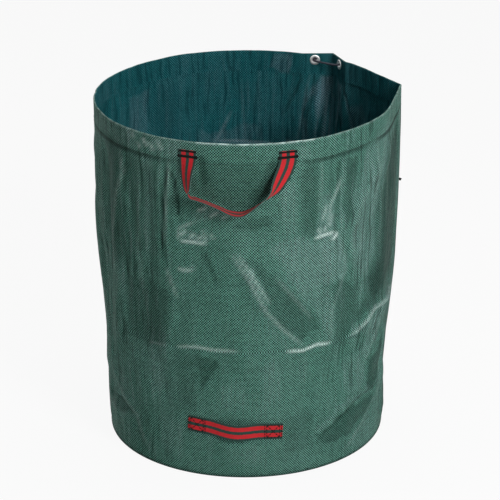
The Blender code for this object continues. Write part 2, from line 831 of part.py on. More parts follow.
def make_top_handle(word, azimuth, collection, looks, rim):
    """A top handle: two sewn tabs, their stitching and the swinging loop."""
    hinge_place = handle_hinge_place(azimuth)
    hinge = empty_at(f"{word}_handle_hinge", collection, hinge_place, rim)
    mesh = strap_mesh(f"{word}_handle_loop", loop_sections(azimuth))
    loop = link(f"{word}_handle_loop", mesh, collection, looks["webbing"], hinge_place)
    hang_from(loop, hinge)
    stitch_radius = RIM_RADIUS + 2.0 * GAP + WEBBING_THICKNESS + 0.5 * STITCH_PLATE
    stitch_height = 0.5 * (TAB_TOP + TAB_BOTTOM)
    for side, end in ((-1, "left"), (1, "right")):
        angle = azimuth + side * TAB_ANGLE
        tab = make_tab(f"{word}_handle_tab_{end}", angle, collection, looks["webbing"])
        stitches = stitch_plate(f"{word}_tab_stitches_{end}", tab_stitches(), angle,
                                stitch_radius, stitch_height, collection, looks["thread"])
        hang_from(tab, rim)
        hang_from(stitches, rim)


# Tipping handle

def grip_half_angle():
    """The angle from the tipping handle's middle to where its grip ends."""
    return 0.5 * GRIP_LENGTH / wall_radius(GRIP_HEIGHT)


def grip_reach():
    """The radius of the strap's middle line, against the widest wall behind it."""
    half = 0.5 * (GRIP_SLANT + WEBBING_WIDTH)
    widest = max(wall_radius(GRIP_HEIGHT - half), wall_radius(GRIP_HEIGHT + half))
    return widest + GAP + 0.5 * WEBBING_THICKNESS


def grip_section(azimuth, out=0.0, down=0.0):
    """An upright section of the tipping handle at an azimuth."""
    share = turn_from(azimuth, GRIP_AZIMUTH) / grip_half_angle()
    height = GRIP_HEIGHT - 0.5 * GRIP_SLANT * share - down
    centre = radial(azimuth) * (grip_reach() + out) + UP * height
    return centre, UP * 0.5 * WEBBING_WIDTH, radial(azimuth) * 0.5 * WEBBING_THICKNESS


def grip_hinge_ends():
    """The two points that the grip swings about, at its top outer corners."""
    ends = []
    for side in (-1, 1):
        centre, wide, thick = grip_section(GRIP_AZIMUTH + side * grip_half_angle())
        ends.append(centre + wide + thick)
    return ends


def make_tipping_handle(collection, looks):
    """The strap low on the front: two sewn ends and a grip that swings out."""
    half = grip_half_angle()
    gap_angle = 0.5 * GAP / grip_reach()
    count = 16
    sections = []
    for index in range(count + 1):
        share = 2.0 * index / count - 1.0
        swell = math.cos(0.5 * math.pi * share) ** 2
        azimuth = GRIP_AZIMUTH + share * (half - gap_angle)
        sections.append(grip_section(azimuth, GRIP_BOW * swell, GRIP_SAG * swell))
    first, second = grip_hinge_ends()
    place = 0.5 * (first + second)
    hinge = empty_at("tipping_handle_hinge", collection, place)
    mesh = strap_mesh("tipping_handle_grip", sections)
    hang_from(link("tipping_handle_grip", mesh, collection, looks["webbing"], place), hinge)
    span = GRIP_END_LENGTH / grip_reach()
    for side, word in ((-1, "left"), (1, "right")):
        sections = []
        for index in range(5):
            away = half + gap_angle + span * index / 4
            sections.append(grip_section(GRIP_AZIMUTH + side * away))
        name = f"tipping_handle_end_{word}"
        link(name, strap_mesh(name, sections), collection, looks["webbing"])
        middle = GRIP_AZIMUTH + side * (half + 0.5 * span)
        face = grip_reach() + 0.5 * WEBBING_THICKNESS + GAP + 0.5 * STITCH_PLATE
        stitch_plate(f"tipping_stitches_{word}", crossed_box(), middle, face,
                     grip_section(middle)[0].z, collection, looks["thread"])


# The whole bag

def clear_scene():
    """Remove what is in the scene."""
    for item in list(bpy.data.objects):
        bpy.data.objects.remove(item, do_unlink=True)


def new_collection(name):
    """Make a collection under the scene's own."""
    made = bpy.data.collections.new(name)
    bpy.context.scene.collection.children.link(made)
    return made


def build():
    """Model the bag."""
    clear_scene()
    parts = new_collection("leaf_bag")
    cutters = new_collection("leaf_bag_cutters")
    looks = make_materials()

    make_base_panel("base_outer_panel", 0.0, parts, looks["fabric"])
    make_base_panel("base_inner_panel", FABRIC + GAP, parts, looks["fabric"])
    make_lower_wall(parts, looks["fabric"])
    make_upper_wall(parts, looks["fabric"])
    make_base_thread(parts, looks["thread"])
    make_seam_threads(parts, looks["thread"])
    make_seam_knot(parts, looks["thread"])

    rim = empty_at("rim_slide", parts, Vector((0.0, 0.0, BAG_HEIGHT)))
    holes = [make_hole_cutter(1, "left", cutters), make_hole_cutter(-1, "right", cutters)]
    hem = make_hem(parts, looks["fabric"])
    stiffener = make_stiffener(parts, looks["stiffener"])
    cut_with(hem, holes)
    cut_with(stiffener, holes)
    rim_pieces = [hem, stiffener, make_hem_thread(parts, looks["thread"])]
    rim_pieces += make_eyelet(1, "left", parts, looks["eyelet"])
    rim_pieces += make_eyelet(-1, "right", parts, looks["eyelet"])
    rim_pieces += make_tie_cord(parts, looks["cord"])
    for piece in rim_pieces:
        hang_from(piece, rim)
    make_top_handle("front", FRONT_AZIMUTH, parts, looks, rim)
    make_top_handle("back", BACK_AZIMUTH, parts, looks, rim)
    make_tipping_handle(parts, looks)


build()
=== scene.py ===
"""Dresses a garden leaf bag in woven cloth, striped webbing, stitching, eyelets and cord.

Metres, +Z up, in the frame of the packed model. Azimuths run from +X towards +Y.
"""

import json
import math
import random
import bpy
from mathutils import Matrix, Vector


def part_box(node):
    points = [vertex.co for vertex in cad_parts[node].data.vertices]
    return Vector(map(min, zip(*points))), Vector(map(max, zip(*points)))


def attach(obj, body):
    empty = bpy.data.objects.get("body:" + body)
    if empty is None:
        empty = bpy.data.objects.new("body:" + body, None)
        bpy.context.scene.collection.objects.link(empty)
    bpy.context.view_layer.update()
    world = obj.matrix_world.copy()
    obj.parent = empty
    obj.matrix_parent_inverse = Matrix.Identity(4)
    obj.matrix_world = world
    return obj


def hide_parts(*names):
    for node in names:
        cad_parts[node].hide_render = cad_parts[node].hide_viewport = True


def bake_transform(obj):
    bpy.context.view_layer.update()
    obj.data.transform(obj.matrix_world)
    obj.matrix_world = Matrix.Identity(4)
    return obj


bl_info = {
    "name": "Woven Leaf Bag",
    "version": (1, 0, 0),
    "blender": (4, 5, 0),
    "location": "View3D > Sidebar > Leaf Bag",
    "description": "Dresses a garden leaf bag over its packed model",
    "category": "Object",
}

from contextlib import contextmanager
from dataclasses import dataclass

import bpy
import numpy as np
from bpy.props import FloatProperty, FloatVectorProperty, IntProperty, PointerProperty
from bpy.types import Operator, Panel, PropertyGroup
from mathutils import Matrix, Vector

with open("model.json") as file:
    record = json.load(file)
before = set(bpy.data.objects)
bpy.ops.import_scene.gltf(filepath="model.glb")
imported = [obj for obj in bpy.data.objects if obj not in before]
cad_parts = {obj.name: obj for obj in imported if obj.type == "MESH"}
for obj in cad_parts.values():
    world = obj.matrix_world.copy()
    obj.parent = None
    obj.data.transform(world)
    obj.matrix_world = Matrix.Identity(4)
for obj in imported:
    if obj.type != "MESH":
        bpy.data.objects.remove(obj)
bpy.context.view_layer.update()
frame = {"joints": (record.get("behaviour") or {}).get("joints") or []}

UP = Vector((0.0, 0.0, 1.0))
MM = 1000.0  # millimetres in a metre

# Heights of the packed model, and the height of the packing fold above its own
HEM_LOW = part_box("rim_hem")[0].z
HEM_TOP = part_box("rim_hem")[1].z
FOLD_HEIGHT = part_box("lower_wall")[1].z
UPPER_FOLD_HEIGHT = 0.567

GAP = 0.0003  # between layers that are sewn together
FOLD_TOP = 0.735  # the highest point of a fold in the wall
PLEAT_FOLD_TOP = 0.745
MARK_WIDTH = 0.0038  # of the pale or soiled mark along a fold
EYELET_HOLE = 0.0060  # radius
KNOT_REACH = 0.0081  # radius of a stopper knot
CORD_RADIUS = 0.0025
LAMP_TARGET = Vector((0.0, 0.0, 0.40))

WHITE = (1.0, 1.0, 1.0)
# Dark colour of the painted shade in creases, and of the darkening just above the ground
SOIL = (0.004, 0.012, 0.010)
DUST = (0.36, 0.30, 0.28)
# Painted sheen on the lining's lit areas, and the colour of its pale fold marks, partly painted highlight
LINING_GLOW = (0.38, 0.56, 0.66)
LINING_MARK = (0.50, 0.66, 0.74)

FRONT_HINGE = next(j for j in frame["joints"] if j["name"] == "front_handle_swing")
GRIP_HINGE = next(j for j in frame["joints"] if j["name"] == "tipping_handle_swing")


# Sizes and colours that a user would change

class LeafBagShape(PropertyGroup):
    """Sizes of the bag's cloth."""

    rim_radius: FloatProperty(
        name="Mouth radius", description="Radius of the round mouth", default=0.335, unit="LENGTH")
    base_radius: FloatProperty(
        name="Base radius", description="Radius of the wall at the ground", default=0.3165, unit="LENGTH")
    straight_from: FloatProperty(
        name="Straight from", description="Height where the wall stops widening", default=0.700, unit="LENGTH")
    bottom_curl: FloatProperty(
        name="Bottom curl", description="Radius of the wall's curled foot", default=0.004, unit="LENGTH")
    cloth: FloatProperty(
        name="Cloth", description="Thickness of the woven cloth", default=0.001, unit="LENGTH")
    hem_thickness: FloatProperty(
        name="Hem thickness", description="Hem with its stiffening strip", default=0.0038, unit="LENGTH")
    seam_azimuth: FloatProperty(
        name="Seam azimuth", description="Where the side seam stands", default=math.radians(10.0),
        subtype="ANGLE")
    seam_reach: FloatProperty(
        name="Seam reach", description="How far the seam's edge stands out", default=0.026, unit="LENGTH")
    seam_full_from: FloatProperty(
        name="Seam full from", description="Height where the seam's edge is full", default=0.400, unit="LENGTH")
    pleat_azimuth: FloatProperty(
        name="Pleat azimuth", description="Where the tie cord draws a pleat", default=math.radians(54.994),
        subtype="ANGLE")
    pleat_depth: FloatProperty(
        name="Pleat depth", description="How far the pleat stands out", default=0.036, unit="LENGTH")
    pleat_half_width: FloatProperty(
        name="Pleat half width", description="Half of the pleat's width", default=0.060, unit="LENGTH")
    pleat_length: FloatProperty(
        name="Pleat length", description="Height over which the pleat fades", default=0.200, unit="LENGTH")
    columns: IntProperty(name="Columns", description="Strips of cloth round the bag", default=440)
    rows: IntProperty(name="Rows", description="Strips of cloth up each half of the wall", default=110)


class LeafBagCloth(PropertyGroup):
    """Colours and weave of the cloth."""

    tape: FloatProperty(
        name="Tape width", description="Width of one woven tape", default=0.0030, unit="LENGTH")
    # The light and dark tapes are one green: the light colour carries painted sheen and the dark one painted shade
    green_light: FloatVectorProperty(
        name="Light green", description="Tapes that face the light", default=(0.190, 0.480, 0.380),
        size=3, subtype="COLOR")
    green_dark: FloatVectorProperty(
        name="Dark green", description="Tapes that dip under", default=(0.001, 0.007, 0.005),
        size=3, subtype="COLOR")
    # The same for the lining: painted sheen on its light tapes, painted shade on its dark ones
    lining_light: FloatVectorProperty(
        name="Light lining", description="Inner face, light tapes", default=(0.030, 0.240, 0.260),
        size=3, subtype="COLOR")
    lining_dark: FloatVectorProperty(
        name="Dark lining", description="Inner face, dark tapes", default=(0.005, 0.045, 0.058),
        size=3, subtype="COLOR")
    # The colour of the painted sheen where the painted light and the highlight streaks fall
    haze: FloatVectorProperty(
        name="Haze", description="Greyish bloom where the cloth is scuffed", default=(0.540, 0.830, 0.790),
        size=3, subtype="COLOR")
    # Pale marks along folds, partly whitening from strain and partly painted highlight
    stress: FloatVectorProperty(
        name="Stress white", description="Pale marks along sharp folds", default=(0.78, 1.00, 0.95),
        size=3, subtype="COLOR")


class LeafBagWebbing(PropertyGroup):
    """Sizes and colours of the webbing handles."""

    width: FloatProperty(name="Width", description="Width of the webbing", default=0.038, unit="LENGTH")
    thickness: FloatProperty(
        name="Thickness", description="Thickness of the webbing", default=0.0016, unit="LENGTH")
    lift: FloatProperty(
        name="Lift", description="Middle of the webbing above the cloth", default=0.0013, unit="LENGTH")
    red: FloatVectorProperty(
        name="Red", description="Red stripes", default=(0.76, 0.016, 0.026), size=3, subtype="COLOR")
    band: FloatVectorProperty(
        name="Band", description="Dark green-grey stripes", default=(0.012, 0.055, 0.045),
        size=3, subtype="COLOR")
    thread: FloatVectorProperty(
        name="Thread", description="Sewing thread", default=(0.010, 0.012, 0.012), size=3, subtype="COLOR")


class LeafBagStage(PropertyGroup):
    """The camera and the lamps."""

    camera_place: FloatVectorProperty(
        name="Camera", description="Place of the camera", default=(-0.0262, -5.0, 2.4428),
        size=3, subtype="TRANSLATION", unit="LENGTH")
    camera_pitch: FloatProperty(
        name="Pitch", description="How far the camera looks down", default=0.38434, subtype="ANGLE")
    camera_yaw: FloatProperty(
        name="Yaw", description="How far the camera turns to the left", default=-0.00745, subtype="ANGLE")
    camera_roll: FloatProperty(
        name="Roll", description="How far the camera leans", default=-0.00677, subtype="ANGLE")
    lens: FloatProperty(name="Lens", description="Focal length in millimetres", default=169.73)
    key: FloatProperty(name="Key", description="Power of the large front lamp in watts", default=106.0)
    fill: FloatProperty(name="Fill", description="Power of the left lamp in watts", default=2.5)
    top: FloatProperty(name="Top", description="Power of the lamp above in watts", default=33.0)
    room: FloatProperty(name="Room", description="Strength of the even room light", default=0.13)


SETTINGS = (
    ("leaf_bag_shape", LeafBagShape),
    ("leaf_bag_cloth", LeafBagCloth),
    ("leaf_bag_webbing", LeafBagWebbing),
    ("leaf_bag_stage", LeafBagStage),
)


def shape():
    """The bag's sizes."""
    return bpy.context.scene.leaf_bag_shape


def cloth():
    """The cloth's colours and weave."""
    return bpy.context.scene.leaf_bag_cloth


def webbing():
    """The webbing's sizes and colours."""
    return bpy.context.scene.leaf_bag_webbing


# The wall's outline, as the packed model has it

def smooth_step(value):
    """Rise from 0 to 1 with level ends, for a number or an array."""
    held = np.clip(value, 0.0, 1.0)
    return held * held * (3.0 - 2.0 * held)


def beyond(distance, start, fade):
    """0 up to a start, then rising to 1 over a fade."""
    return smooth_step((distance - start) / fade)


def radial(azimuth):
    """The direction straight out from the bag's axis."""
    return Vector((math.cos(azimuth), math.sin(azimuth), 0.0))


def tangent(azimuth):
    """The level direction round the bag."""
    return Vector((-math.sin(azimuth), math.cos(azimuth), 0.0))


def wall_radius(height):
    """The round part of the wall at a height."""
    sizes = shape()
    return sizes.base_radius + (sizes.rim_radius - sizes.base_radius) * smooth_step(height / sizes.straight_from)


def seam_reach(height):
    """How far the side seam's edge stands out of the round wall."""
    return shape().seam_reach * smooth_step(height / shape().seam_full_from)


def pleat_reach(height):
    """How far the pleat stands out, full in the hem and fading below it."""
    sizes = shape()
    return sizes.pleat_depth * beyond(height, HEM_LOW - sizes.pleat_length, sizes.pleat_length)


def turn_from(azimuth, other):
    """The signed angle from one azimuth to another, within half a turn."""
    return (azimuth - other + math.pi) % math.tau - math.pi


def pleat_foot_angle():
    """The angle from the pleat's tip to its foot."""
    return math.asin(shape().pleat_half_width / shape().rim_radius)


def in_metres(points):
    """Points of (azimuth, height in millimetres) with their heights in metres."""
    return [(azimuth, height / MM) for azimuth, height in points]


# The wall's main folds, as the packed model has them: two points on the wall, as
# azimuth in degrees and height, and how far the cloth stands out. Here and in the
# two tables below, each height, push, width and softness is in millimetres.
DRAPES = [(*in_metres(ends), depth / MM) for *ends, depth in (
    ((-121.5, 735), (-122, 300), 5), ((-134, 735), (-133, 340), -4), ((-145, 735), (-150, 300), 5),
    ((-158, 735), (-160, 250), -4), ((-170, 735), (-173, 180), 4.5), ((-95, 555), (-70, 315), 5),
    ((-75, 560), (-57, 440), -3), ((-52, 580), (-55.7, 300), 4.5), ((-17.5, 735), (-45, 600), 4.5),
    ((-45, 600), (-42, 430), 4), ((-33, 560), (-33, 390), -4), ((-9, 720), (-25, 430), 4),
    ((-1, 336), (-46, 308), 4.5), ((-4, 270), (-31, 196), 4), ((-15, 150), (-58, 80), 4.5),
    ((-113, 262), (-103, 262), -4), ((-166, 100), (-140, 60), 4), ((28, 690), (24, 360), -4),
    ((36, 600), (46, 220), 5), ((60, 500), (64, 160), -4), ((76, 570), (74, 240), 4.5), ((90, 520), (88, 120), -4),
    ((101, 570), (106, 240), 5), ((119, 735), (120, 380), -4), ((126, 420), (132, 100), 4.5),
    ((132, 735), (138, 440), 4.5), ((148, 700), (150, 200), -4), ((160, 735), (164, 300), 5),
    ((176, 735), (176, 400), -3.5),
)]
DRAPE_HALF_WIDTH = 0.045
DRAPE_END_FADE = 0.060


def drape_reach(azimuth, height):
    """How far the main folds push the wall out, or in, for arrays."""
    reach = np.zeros(np.shape(azimuth))
    rim = shape().rim_radius
    for (start, high), (end, low), depth in DRAPES:
        east = turn_from(azimuth, math.radians(start)) * rim
        up = height - high
        run_east = turn_from(math.radians(end), math.radians(start)) * rim
        run_up = low - high
        along = np.clip((east * run_east + up * run_up) / (run_east ** 2 + run_up ** 2), 0.0, 1.0)
        away = np.hypot(east - along * run_east, up - along * run_up)
        reach += depth * smooth_step(1.0 - away / DRAPE_HALF_WIDTH)
    return reach * smooth_step(height / DRAPE_END_FADE) * smooth_step((HEM_LOW - height) / DRAPE_END_FADE)


def outline_radius(azimuth, height):
    """The wall's radius with its main folds, seam and pleat, for arrays."""
    sizes = shape()
    azimuth, height = np.broadcast_arrays(np.asarray(azimuth, float), np.asarray(height, float))
    base = wall_radius(height)
    radius = base.copy()
    reach = seam_reach(height)
    seam_foot = np.arccos(base / (base + reach))
    pleat_foot = np.full_like(base, pleat_foot_angle())
    corners = ((sizes.seam_azimuth, reach, seam_foot), (sizes.pleat_azimuth, pleat_reach(height), pleat_foot))
    for tip, depth, foot in corners:
        away = np.abs(turn_from(azimuth, tip))
        inside = (away < foot) & (depth > 0.0)
        near = np.sin(np.maximum(foot - away, 0.0)) / (base + depth)
        side = np.sin(foot) / np.maximum(near + np.sin(away) / base, 1e-9)
        radius = np.where(inside, side, radius)
    return radius + drape_reach(azimuth, height)


# Folds in the cloth

@dataclass
class Fold:
    """A crease along the wall.

    route is a list of (azimuth in degrees, height). The cloth is pushed out by
    push, fading over the two widths to the left and to the right of the route.
    It is marked pale along the route by white, partly whitening where the cloth was strained and partly painted
    highlight, or darkened below 0 as painted shade in the crease.
    """

    route: list
    push: float
    left: float
    right: float
    white: float = 0.0

    def measure(self, azimuth, height):
        """The push and the mark, white or dark, of points on the wall."""
        radius = shape().rim_radius
        start_azimuth = math.radians(self.route[0][0])
        east = turn_from(azimuth, start_azimuth) * radius
        points = [(turn_from(math.radians(a), start_azimuth) * radius, z) for a, z in self.route]
        lengths = [math.dist(p, q) for p, q in zip(points, points[1:])]
        nearest = np.full(east.shape, 1e9)
        signed = np.zeros(east.shape)
        share = np.zeros(east.shape)
        done = 0.0
        for (p, q), length in zip(zip(points, points[1:]), lengths):
            dx, dz = (q[0] - p[0]) / length, (q[1] - p[1]) / length
            along = (east - p[0]) * dx + (height - p[1]) * dz
            held = np.clip(along, 0.0, length)
            off_x, off_z = east - p[0] - held * dx, height - p[1] - held * dz
            away = np.hypot(off_x, off_z)
            closer = away < nearest
            side = np.sign((height - p[1]) * dx - (east - p[0]) * dz)
            nearest = np.where(closer, away, nearest)
            signed = np.where(closer, side, signed)
            share = np.where(closer, (done + along) / sum(lengths), share)
            done += length
        ends = 1.0 - np.clip(np.abs(2.0 * share - 1.0), 0.0, 1.0) ** 5
        width = np.where(signed > 0.0, self.left, self.right)
        push = self.push * np.exp(-((nearest / width) ** 1.3)) * ends
        mark = self.white * np.exp(-((nearest / MARK_WIDTH) ** 2)) * ends
        return push, mark


# Folds that the front of the bag shows, with a Fold's values in their order
FRONT_FOLDS = [Fold(in_metres(route), push / MM, left / MM, right / MM, *white)
               for route, push, left, right, *white in (
    ([(-118.3, 311), (-109.8, 319), (-101.9, 313), (-93, 315)], 2.6, 12, 4, 0.6),
    ([(-75, 308), (-67.7, 306), (-62, 311), (-55.5, 309)], 2.8, 10, 4, 1.3),
    ([(-115.2, 565.5), (-104.5, 566.5)], 2.6, 8, 4, 0.9), ([(-116, 565), (-115, 596), (-109, 613)], 1.6, 6, 5, 0.35),
    ([(-105, 567), (-106, 600)], 1.4, 5, 4, 0.35), ([(-116.4, 500), (-110.5, 497.5)], 1.8, 7, 4, 0.6),
    ([(-106.2, 552), (-103, 508), (-100.5, 469)], -3, 5, 5, -0.7),
    ([(-95.7, 552), (-88.6, 483), (-82.3, 407), (-76, 362), (-67, 312)], 4, 24, 4, 0.42),
    ([(-93.4, 552), (-86.6, 484), (-81, 425)], 1.4, 4, 4, 0.45), ([(-79.2, 490), (-63.7, 374)], 2.2, 5, 14, 0.2),
    ([(-51.6, 560), (-49.3, 474), (-56, 390), (-55.7, 302)], 2.8, 5, 20, 0.15),
    ([(-51.7, 697), (-57, 632), (-58, 585)], 3, 10, 6, 0.45),
    ([(-63.8, 567.5), (-59.8, 569), (-54.6, 570.5)], 2, 4, 4, 1.3), ([(-53.3, 569), (-55.9, 552)], 1.8, 4, 4, 1.3),
    ([(-17.7, 790), (-30, 674), (-43.7, 612.5), (-46, 531), (-43.9, 427)], 2.4, 18, 6, 0.1),
    ([(-14.4, 753), (-26.9, 619), (-26.7, 431)], 2.6, 12, 8, 0.1),
    ([(7, 334), (-2, 333), (-29.6, 343), (-39.3, 319), (-46.5, 305)], 5.2, 20, 4, 0.65),
    ([(-46.5, 305), (-42, 300), (-38, 318)], -2, 4, 6, -0.3),
    ([(-20, 300), (-24.6, 287), (-30, 253), (-36.1, 214)], 3.4, 20, 5, 0.15),
    ([(-14.6, 176), (-23.3, 140), (-39.1, 138), (-49, 116), (-59.7, 84)], -3.4, 16, 4, -0.5),
    ([(-20, 125), (-26.6, 109), (-47.5, 21)], 3.2, 6, 10, 0.15),
    ([(-166, 107), (-152.4, 118), (-143.3, 101)], -2.8, 5, 12, -0.5),
    ([(-163, 176), (-141, 101), (-134, 25)], 3.2, 8, 12, 0.2),
    ([(-111.3, 292), (-108.2, 214), (-101.2, 300)], -3, 14, 4, -0.25),
    ([(-118.7, 262), (-117.8, 133)], -1.6, 12, 12, -0.2),
    ([(-120.6, 755), (-120.7, 694), (-121.8, 626), (-122.9, 556), (-121.6, 499)], -4.6, 6, 5, -1),
    ([(-120.9, 499), (-118.6, 457), (-116.8, 427)], 3, 10, 4, 0.35),
    ([(-119.2, 730), (-117.2, 705), (-116.2, 672), (-115.8, 632), (-114.2, 605)], -4.2, 5, 5, -1),
    ([(-119.4, 430), (-120.5, 380), (-122, 312)], 3, 4, 20), ([(-132, 300), (-122, 312)], 1.8, 10, 4, 0.2),
    ([(-127, 740), (-128, 544), (-129.5, 400)], -3, 5, 5, -0.3),
    ([(-133, 765), (-135, 560), (-132, 360)], 2.8, 6, 6, 0.1),
    ([(-138, 740), (-138, 600), (-142, 420)], -3, 5, 8, -0.3),
    ([(-145, 771), (-141, 694), (-144.6, 640), (-150.8, 505), (-146.4, 388)], 3, 8, 6, 0.25),
    ([(-154, 760), (-156, 560), (-153, 330)], -3, 6, 8, -0.2),
    ([(-161, 770), (-163, 500), (-160, 260)], 3, 7, 6, 0.15), ([(-66.3, 296.5), (-66.7, 214)], 1.8, 4, 6, 0.05),
    ([(-82, 290), (-86, 200)], 1.4, 12, 12), ([(-36, 760), (-38, 640)], -2.6, 6, 6, -0.2),
    ([(-30, 770), (-32, 560)], 2.4, 5, 7, 0.15), ([(-70, 735), (-71, 560), (-66, 480)], -1.6, 10, 10),
    ([(-61, 750), (-62, 620)], 1.8, 6, 6, 0.15), ([(-24, 760), (-29, 560), (-27, 340)], -2.4, 5, 6, -0.15),
    ([(-20, 740), (-22, 520)], 2, 6, 5, 0.15), ([(-12, 700), (-14, 480)], -1.8, 6, 6, -0.15),
    ([(-88, 200), (-90, 60)], -1, 12, 12),
    # A lit flank beside the dark crease above, marked pale as a painted highlight
    ([(-119.3, 750), (-119.6, 694), (-120.6, 626), (-121.6, 556)], 1.4, 3, 4, 0.3),
    # Short pale strokes on small crumples: painted highlights
    ([(-131, 786), (-128.5, 768)], 1.2, 4, 3, 0.8), ([(-127.5, 779), (-125.5, 760)], 1.2, 4, 3, 0.7),
    ([(-124, 789), (-121.5, 766)], 1.2, 4, 3, 0.65), ([(-133.5, 771), (-131.5, 758)], 1.2, 3, 4, 0.6),
    ([(-137, 789), (-135, 778)], 1.2, 3, 4, 0.6), ([(-115.5, 577), (-112.5, 592)], 1, 3, 3, 0.6),
    ([(-111.5, 575), (-108.8, 586)], 1, 3, 3, 0.55), ([(-108.5, 572), (-106, 584)], 1, 3, 3, 0.5),
    ([(-103.5, 592), (-101.5, 576)], 1, 3, 3, 0.35), ([(-108, 640), (-104.5, 649)], 1, 4, 3, 0.5),
    ([(-103.5, 628), (-100, 641)], 1, 4, 3, 0.55), ([(-99, 626), (-96.5, 635)], 1, 3, 3, 0.45),
    ([(-60.5, 602), (-58.5, 642)], 1.2, 3, 4, 0.5), ([(-57, 585), (-56.2, 616)], 1.2, 3, 4, 0.55),
    ([(-62.5, 590), (-60.8, 574)], 1, 3, 3, 0.65), ([(-59.5, 590), (-58.2, 573)], 1, 3, 3, 0.55),
    # Painted shade under the step of the hem
    ([(-172, 744.5), (-150, 744.5), (-116, 744.5)], -0.6, 4, 4, -0.8),
    ([(-70, 744), (-52, 744.5), (-34, 745)], -0.8, 4, 4, -0.8), ([(-34, 744), (-20, 744.5), (6, 745)], -1, 4, 4, -1),
)]

